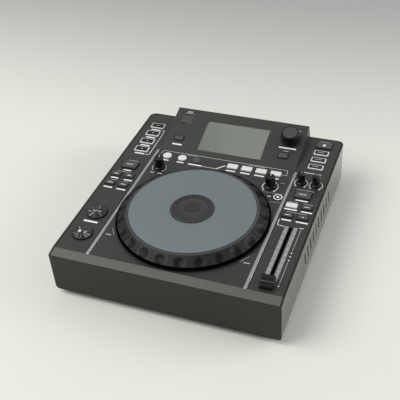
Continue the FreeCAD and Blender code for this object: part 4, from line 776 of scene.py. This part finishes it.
def makeDomeButton(node, finish, *marks):
    # a low dome cut into facets that run out from its middle
    x, y, wide = readButton(node)[:3]
    radius, rim, rows = wide / 2, dome["rim"], dome["rows"]
    profile = [(0, stem["flangeTop"]), (radius, stem["flangeTop"]), (radius, rim - 0.5),
               (radius - 0.2, rim - 0.1), (radius - 0.9, rim + 0.15)]
    profile += [((radius - 1.4) * i / rows, rim + 0.2 + (dome["rise"] - rim - 0.2) * (1 - (i / rows) ** 2))
                for i in range(rows, -1, -1)]
    part = turned(profile, dome["facets"] * 4)
    for v in part.verts:
        out = v.co.xy.length - dome["plain"]
        if v.co.z > rim and out > 0:
            step = abs((math.atan2(v.co.y, v.co.x) * dome["facets"] / math.tau) % 1 - 0.5) * 2
            v.co.z -= dome["facetDepth"] * min(1.0, out / dome["facetRun"]) * step
    piece = Piece(node.replace("_", "."), deckPlace)
    piece.add(moved(part, x, y), finish)
    for kind, markFinish in marks:
        addGlyph(piece, kind, x, y, dome["rise"] - 0.08, markFinish, dome["markThick"])
    addStem(piece, x, y, wide)
    return piece.finish(node, "clear_button", [node], 20)


def makeButtons():
    dark, pale = (buttonPaint, buttonTop), (litPaint,)
    for i in range(4):
        makeOutlinedButton(f"cue_point_button_{i + 1}", "dot")
    makeSlabButton("left_large_button", dark, "wideDashes")
    smallMarks = (("back", None), ("next", "dashes"), ("dashes", "dashes"), ("dashes", "plus"))
    for i, (leftMark, rightMark) in enumerate(smallMarks):
        makeSlabButton(f"left_small_button_{i + 1}", dark, leftMark)
        makeSlabButton(f"right_small_button_{i + 1}", dark if rightMark else pale, rightMark)
    domePaint = domeFinish()
    makeDomeButton("cue_button", domePaint, ("evenDashes", dimInk))
    makeDomeButton("play_button", domePaint, ("play", inkPaint), ("pause", dimInk))
    makeSlabButton("eject_button", dark, "up")
    for i in range(3):
        makeOutlinedButton(f"mode_button_{i + 1}", "wideDashes")
    makeSlabButton("right_large_button", dark, "wideDashes")
    for i in range(2):
        makeRoundButton(f"loop_button_{i + 1}", litPaint, "lit_button")
    makeRoundButton("loop_button_3", buttonTop)
    for i in range(4):
        makeSlabButton(f"pad_button_{i + 1}", pale)
    makeRoundButton("ring_button", buttonPaint, ringed=True)
    makeSlabButton("panel_left_button", dark, None, panelPlace)
    makeSlabButton("panel_right_button", dark, None, panelPlace)


makeButtons()
print("buttons made")


# printed marks, as thin raised ink: a bar or caption is left end, right end, y, height, and a line is
# its width and its points

deckMarks = dict(
    whiteBars=[(-132.9, -118.4, y, 2.6) for y in (289.0, 268.8, 247.9, 227.4)] + [
        (-131.3, -119.5, 184.8, 2.2), (-141.0, -130.3, 164.6, 2.4), (-121.1, -109.1, 163.8, 2.4),
        (-142.3, -129.4, 143.0, 2.4), (-122.9, -109.4, 142.5, 2.4), (-135.5, -115.7, 70.1, 3.0),
        (116.7, 133.2, 185.7, 2.2), (107.1, 123.8, 165.0, 2.4), (129.5, 144.0, 164.4, 2.4),
        (109.4, 122.1, 143.3, 2.4), (128.2, 143.8, 143.3, 2.4), (135.4, 141.0, 132.6, 0.9),
        (-88.2, -78.2, 222.3, 2.2), (-65.7, -55.3, 222.3, 2.2), (-48.3, -28.1, 222.1, 2.4)],
    greyBars=[(112.5, 136.5, 246.4, 2.0)],
    greyCaptions=[
        (-133.2, -117.8, 207.9, 1.1), (-138.5, -120.0, 180.3, 0.9), (-139.5, -131.0, 159.9, 0.9),
        (-120.0, -112.5, 159.6, 0.9), (117.5, 131.5, 323.8, 0.9), (107.2, 116.5, 240.8, 1.1),
        (127.0, 137.0, 240.8, 1.1), (112.5, 136.0, 207.9, 1.1), (109.0, 121.0, 180.4, 0.9),
        (129.0, 142.0, 180.2, 0.9), (112.0, 138.0, 159.7, 0.9), (-57.0, -40.0, 241.9, 0.9),
        (36.0, 58.0, 241.9, 0.9), (88.0, 95.0, 214.8, 1.1)],
    whiteCaptions=[
        (-92.5, -86.5, 190.3, 1.1), (-81.5, -75.5, 190.3, 1.1), (79.0, 84.0, 183.6, 1.3),
        (-95.5, -88.4, 53.6, 1.0), (87.7, 95.4, 53.6, 1.0)],
    whiteLines=[
        (0.8, [(-116.0, 289.4), (-111.5, 290.1), (-110.7, 227.3), (-116.5, 226.6)]),
        (0.8, [(106.9, 142.8), (107.4, 131.3), (116.0, 130.6)]),
        (0.6, [(-28.1, 221.6), (-6.5, 221.4)]), (1.6, [(-6.5, 221.6), (3.4, 231.4)]),
        (0.45, [(-94.6, 236.0), (-93.1, 243.4), (90.6, 243.9), (91.6, 232.7), (84.8, 232.3)])],
    greyLines=[
        (0.5, [(138.2, 130.8), (138.2, 88.5)]), (0.5, [(138.2, 69.5), (138.2, 29.5)]),
        (0.45, [(70.5, 190.8), (98.7, 191.2)]), (0.45, [(85.0, 172.5), (98.9, 174.9)]),
        (0.5, [(-92.0, 65.7), (-84.6, 54.5)]), (0.5, [(83.0, 54.0), (91.4, 66.1)])])
padLabel = dict(wide=13.8, y=222.2, high=2.4)
faderScale = dict(top=131.0, length=104.0, tick=1.25, high=0.5, longHigh=0.75, longEvery=8,
                  columns=((117.6, 122.5), (129.0, 133.9)), dot=0.95, dotX=138.2,
                  dotY=(27.5, 85.4, 79.0, 72.3))
groove = dict(x=104.8, y=128.2, wide=1.0, long=230.0, floor=-0.95, thick=0.08)
tallArc = dict(radius=10.6, width=1.0, start=-50, end=230, barOff=7.6, barY=194.6, barWide=2.4, barHigh=1.1)
shortArc = dict(radius=8.7, width=0.9, start=-52, end=232, barOff=6.3, barY=214.6, barWide=2.2, barHigh=1.0)
knobArcs = dict(right_knob=tallArc, inner_trim_knob=shortArc, outer_trim_knob=shortArc)
stepArcs = dict(radius=9.9, width=1.0, pitch=20, half=6, first=-40, last=220, gap=(40, 140))


def addBar(piece, left, right, y, high, finish):
    piece.add(block(((left + right) / 2, y, ink / 2), (right - left, high, ink)), finish)


def addCaption(piece, left, right, y, high, finish):
    # plain dashes where the object has small words
    random.seed(round(left * 7 + y * 3))
    x = left
    while x < right - 0.8:
        run = min(random.uniform(1.2, 3.2), right - x)
        addBar(piece, x, x + run, y, high, finish)
        x += run + 0.6


def addLine(piece, width, points, finish):
    for a, b in zip(points, points[1:]):
        piece.add(stroke(a, b, width, ink), finish)


def addKnobMarks(piece):
    # an arc with two end bars round three knobs, and a broken arc round the left one
    for node, facts in knobArcs.items():
        axis = axisOn(deckPlace, node + "_turn")
        band = arc(facts["radius"], facts["width"], ink, facts["start"], facts["end"])
        piece.add(moved(band, axis.x, axis.y), inkPaint)
        half = facts["barWide"] / 2
        for x in (axis.x - facts["barOff"], axis.x + facts["barOff"]):
            addBar(piece, x - half, x + half, facts["barY"], facts["barHigh"], inkPaint)
    axis = axisOn(deckPlace, "left_knob_turn")
    half, gap = stepArcs["half"], stepArcs["gap"]
    for middle in range(stepArcs["first"], stepArcs["last"] + 1, stepArcs["pitch"]):
        if not gap[0] < middle < gap[1]:
            part = arc(stepArcs["radius"], stepArcs["width"], ink, middle - half, middle + half)
            piece.add(moved(part, axis.x, axis.y), inkPaint)


def addFaderScale(piece):
    for i in range(int(faderScale["length"] / faderScale["tick"])):
        high = faderScale["high"] if i % faderScale["longEvery"] else faderScale["longHigh"]
        for left, right in faderScale["columns"]:
            addBar(piece, left, right, faderScale["top"] - i * faderScale["tick"], high, scaleInk)
    for y in faderScale["dotY"]:
        piece.add(moved(disc(faderScale["dot"], ink, 20), faderScale["dotX"], y), inkPaint)


def makeDeckPrint():
    piece = Piece("deckPrint", deckPlace)
    for key, finish in (("white", inkPaint), ("grey", dimInk)):
        for facts in deckMarks[key + "Bars"]:
            addBar(piece, *facts, finish)
        for facts in deckMarks[key + "Captions"]:
            addCaption(piece, *facts, finish)
        for facts in deckMarks[key + "Lines"]:
            addLine(piece, *facts, finish)
    for i in range(4):
        x, half = readButton(f"pad_button_{i + 1}")[0], padLabel["wide"] / 2
        addBar(piece, x - half, x + half, padLabel["y"], padLabel["high"], inkPaint)
    addKnobMarks(piece)
    addFaderScale(piece)
    # painted shade: a black strip on the floor of the groove outside each silver strip
    for x in (-groove["x"], groove["x"]):
        base = block((x, groove["y"], groove["floor"]), (groove["wide"], groove["long"], groove["thick"]))
        piece.add(base, shadeBlack)
    return piece.finish("chassis", "cover")


panelMarks = dict(
    whiteBars=[(-86.7, -72.1, 12.2, 2.4), (66.85, 91.95, 36.4, 2.2), (-80.8, -79.4, 75.3, 0.6)],
    greyBars=[(74.9, 82.5, 30.9, 1.0), (86.0, 91.0, 70.4, 0.9), (-87.5, -71.8, 72.3, 0.45)],
    rings=dict(x=(-82.2, -78.0), y=75.3, radius=1.5, width=0.55),
    hollow=dict(x=-83.5, y=54.25, floor=-2.28, radius=3.4, thick=0.1),
    shade=dict(x=-83.0, y=52.6, radius=4.6, flat=0.42))


def makePanelPrint():
    piece = Piece("panelPrint", panelPlace)
    for facts in panelMarks["whiteBars"]:
        addBar(piece, *facts, inkPaint)
    for facts in panelMarks["greyBars"]:
        addBar(piece, *facts, dimInk)
    rings, hollow, shade = (panelMarks[key] for key in ("rings", "hollow", "shade"))
    for x in rings["x"]:
        piece.add(moved(arc(rings["radius"], rings["width"], ink, steps=28), x, rings["y"]), inkPaint)
    # painted shade in the finger recess in front of the flap: a black disc on its floor and a flat black oval
    # on the panel face at its front edge
    base = disc(hollow["radius"], hollow["thick"], 32)
    piece.add(moved(base, hollow["x"], hollow["y"], hollow["floor"]), shadeBlack)
    rim = disc(shade["radius"], ink, 40)
    bmesh.ops.scale(rim, vec=(1, shade["flat"], 1), verts=rim.verts)
    piece.add(moved(rim, shade["x"], shade["y"]), shadeBlack)
    return piece.finish("chassis", "housing")


makeDeckPrint()
makePanelPrint()
print("printed marks made")


# display

def screenFinish():
    # unlit screen: grey-green with a slow pearly change of colour, and painted light that makes it paler
    # towards the right
    paint = Paint("screenGrey")
    x, y, z = paint.axes()
    # slow random change of colour plus painted light, growing towards the right and a little towards the back
    driftAndLight = paint.noise(22.0) * 0.5 + paint.ease(x + y * 0.4, -0.03, 0.09, 0.0, 0.6)
    warm = paint.noise(31.0)
    pixel = paint.noise(4000.0, 1.0)
    tone = paint.blend(driftAndLight, (0.27, 0.325, 0.29, 1.0), (0.48, 0.53, 0.46, 1.0))
    tone = paint.blend(warm * 0.35, tone, (0.42, 0.36, 0.37, 1.0))
    return paint.feed(Base_Color=tone, Roughness=pixel * 0.05 + 0.30)


def clearFinish():
    # clear plate over the screen
    paint = Paint("clearWindow", Transmission_Weight=1.0, IOR=1.46)
    smear = paint.noise(45.0, 4.0, 0.6)
    return paint.feed(Roughness=smear * 0.04 + 0.24)


def makeDisplay():
    screen = dict(margin=0.5, thick=0.2, gap=0.02)
    low, high = spanOn(panelPlace, "display_window")
    middle, size = (low + high) / 2, high - low
    piece = Piece("displayWindow", panelPlace)
    piece.add(slab(middle, size, 0.6, 0.25), clearFinish())
    piece.finish("chassis", "window", ["display_window"])
    # the screen's face lies in the top of the module, a little larger than the window
    face = Vector((middle.x, middle.y, low.z - screen["gap"] - screen["thick"] / 2))
    faceSize = Vector((size.x + 2 * screen["margin"], size.y + 2 * screen["margin"], screen["thick"]))
    low, high = spanOn(panelPlace, "display_module")
    high.z -= screen["thick"]
    module = Piece("displayModule", panelPlace)
    module.add(slab((low + high) / 2, high - low, 1.0, 0.3), innerPlastic)
    module.add(slab(face, faceSize, 0.4, 0), screenFinish())
    module.finish("chassis", "screen", ["display_module"])


makeDisplay()
print("display made")


# inner and rear pieces keep their CAD shapes

def boardFinish():
    # green solder mask with tracks and pale legend
    paint = Paint("solderMask", Coat_Weight=0.4, Coat_Roughness=0.15)
    cells = paint.node("ShaderNodeTexVoronoi", dict(distance="MANHATTAN", feature="F1"),
                       dict(Vector=paint.place, Scale=260.0))
    fine = paint.noise(1500.0)
    lines = paint.node("ShaderNodeTexWave", dict(bands_direction="X"),
                       dict(Vector=paint.place, Scale=90.0, Distortion=6.0, Detail=1.0))
    tracks = (lines > 0.82) * 0.7 + (cells < 0.0012) * 0.2
    tone = paint.blend(tracks, (0.010, 0.085, 0.030, 1.0), (0.03, 0.17, 0.07, 1.0))
    return paint.feed(Base_Color=tone, Roughness=fine * 0.1 + 0.30, Normal=paint.bump(lines, 0.02))


def connectorFinish():
    # black plastic bodies with bright metal barrels, pins and a network shell
    rear = dict(z=38.0, network=-20.0, shell=(8.1, 6.9), mouth=(6.1, 4.2),
                barrels=((18.0, 4.3), (46.0, 4.3), (64.0, 4.3), (94.0, 3.3)),
                pin=(1.1, 2.1), pins=((-99.0, -1.5), (-92.0, 2.5), (-85.0, -1.5)))
    paint = Paint("connectorMix")
    x, y, z = paint.axes()
    east, up = x / mm, z / mm - rear["z"]

    def inside(centre, rise, wide, high):
        return (abs(east - centre) < wide) * (abs(up - rise) < high)

    bright = inside(rear["network"], 0.0, *rear["shell"]) - inside(rear["network"], 0.0, *rear["mouth"])
    for centre, radius in rear["barrels"]:
        across = east - centre
        bright = bright + ((across * across + up * up) < radius * radius)
    for centre, rise in rear["pins"]:
        bright = bright + inside(centre, rise, *rear["pin"])
    fine = paint.noise(1500.0, 3.0, 0.6)
    tone = paint.blend(bright, paint.blend(fine, grey(0.012), grey(0.022)),
                       paint.blend(fine, grey(0.50), grey(0.62)))
    return paint.feed(Base_Color=tone, Metallic=bright, Roughness=fine * 0.12 + 0.28,
                      Normal=paint.bump(fine, 0.01))


boardPaint = boardFinish()
dressed = dict(
    usb_socket=steel, jog_hub=steel, jog_bearing=innerPlastic, fader_body=darkSteel, browse_shaft=steel,
    control_boards=boardPaint, main_board=boardPaint, power_supply=sheet, rear_panel=casePaint,
    rear_connectors=connectorFinish(), power_rocker=knobPaint, feet=footRubber, case_screws=screwMetal)
for dressedNode, dressedFinish in dressed.items():
    dress(dressedNode, dressedFinish)
print("inner and rear pieces dressed")


# floor, light and camera

# these are in metres, as they stand outside the object
floor = dict(half=3.0, light=(0.68, 0.675, 0.64, 1.0), dark=(0.64, 0.635, 0.605, 1.0),
             far=(0.37, 0.378, 0.375, 1.0), fade=(0.1, 0.85))
lights = dict(
    frontLeft=dict(place=(-0.95, -0.6, 1.55), target=(0, 0, 0), size=1.5, power=27.0, colour=(1, 0.99, 0.96)),
    rightSide=dict(place=(1.5, 0.45, 0.6), target=(0.3, 0.1, 0), size=1.0, power=15.0, colour=(1, 1, 1)))
studio = dict(colour=(0.97, 1.0, 0.965, 1.0), strength=0.55)
view = dict(azimuth=23.07, elevation=38.95, roll=-4.44, distance=1.0251, lens=69.14,
            target=deckPlace @ Vector((-6.3, 156.3, -4.9)))


def makeFloor():
    # pale floor with painted shade that darkens it well behind the player
    paint = Paint("paperFloor", Roughness=0.9, Specular_IOR_Level=0.1)
    x, y, z = paint.axes()
    tone = paint.blend(paint.noise(1.3), floor["dark"], floor["light"])
    # painted shade: the floor darkens towards the back
    paint.feed(Base_Color=paint.blend(paint.ease(y, *floor["fade"]), tone, floor["far"]))
    bm = bmesh.new()
    bmesh.ops.create_grid(bm, x_segments=2, y_segments=2, size=floor["half"])
    mesh = bpy.data.meshes.new("floor")
    bm.to_mesh(mesh)
    bm.free()
    mesh.materials.append(paint.material)
    made = bpy.data.objects.new("floor", mesh)
    bpy.context.scene.collection.objects.link(made)


def makeLight(name, facts):
    lamp = bpy.data.lights.new(name, "AREA")
    lamp.shape = "DISK"
    lamp.size = facts["size"]
    lamp.energy = facts["power"]
    lamp.color = facts["colour"]
    made = bpy.data.objects.new(name, lamp)
    made.location = facts["place"]
    made.rotation_mode = "QUATERNION"
    made.rotation_quaternion = (Vector(facts["target"]) - made.location).to_track_quat("-Z", "Y")
    bpy.context.scene.collection.objects.link(made)


def makeWorld():
    world = bpy.data.worlds.new("studio")
    bpy.context.scene.world = world
    world.use_nodes = True
    background = world.node_tree.nodes["Background"]
    background.inputs["Color"].default_value = studio["colour"]
    background.inputs["Strength"].default_value = studio["strength"]


def makeCamera():
    # looks at the target from the photograph's side, turned a little about its line of sight
    az, el, roll = (math.radians(view[key]) for key in ("azimuth", "elevation", "roll"))
    back = Vector((math.sin(az) * math.cos(el), -math.cos(az) * math.cos(el), math.sin(el)))
    side = Vector((0, 0, 1)).cross(back).normalized()
    up = back.cross(side)
    sideTurned = side * math.cos(roll) + up * math.sin(roll)
    upTurned = up * math.cos(roll) - side * math.sin(roll)
    turn = Matrix((sideTurned, upTurned, back)).transposed()
    lens = bpy.data.cameras.new("photoView")
    lens.sensor_width = 36.0
    lens.lens = view["lens"]
    lens.clip_start = 0.01
    lens.clip_end = 50.0
    made = bpy.data.objects.new("photoView", lens)
    made.matrix_world = Matrix.Translation(view["target"] + back * view["distance"]) @ turn.to_4x4()
    bpy.context.scene.collection.objects.link(made)
    bpy.context.scene.camera = made


makeWorld()
makeFloor()
for lightName, lightFacts in lights.items():
    makeLight(lightName, lightFacts)
makeCamera()
bpy.context.scene.view_settings.view_transform = "Standard"
print("floor, light and camera made")

print("scene made")
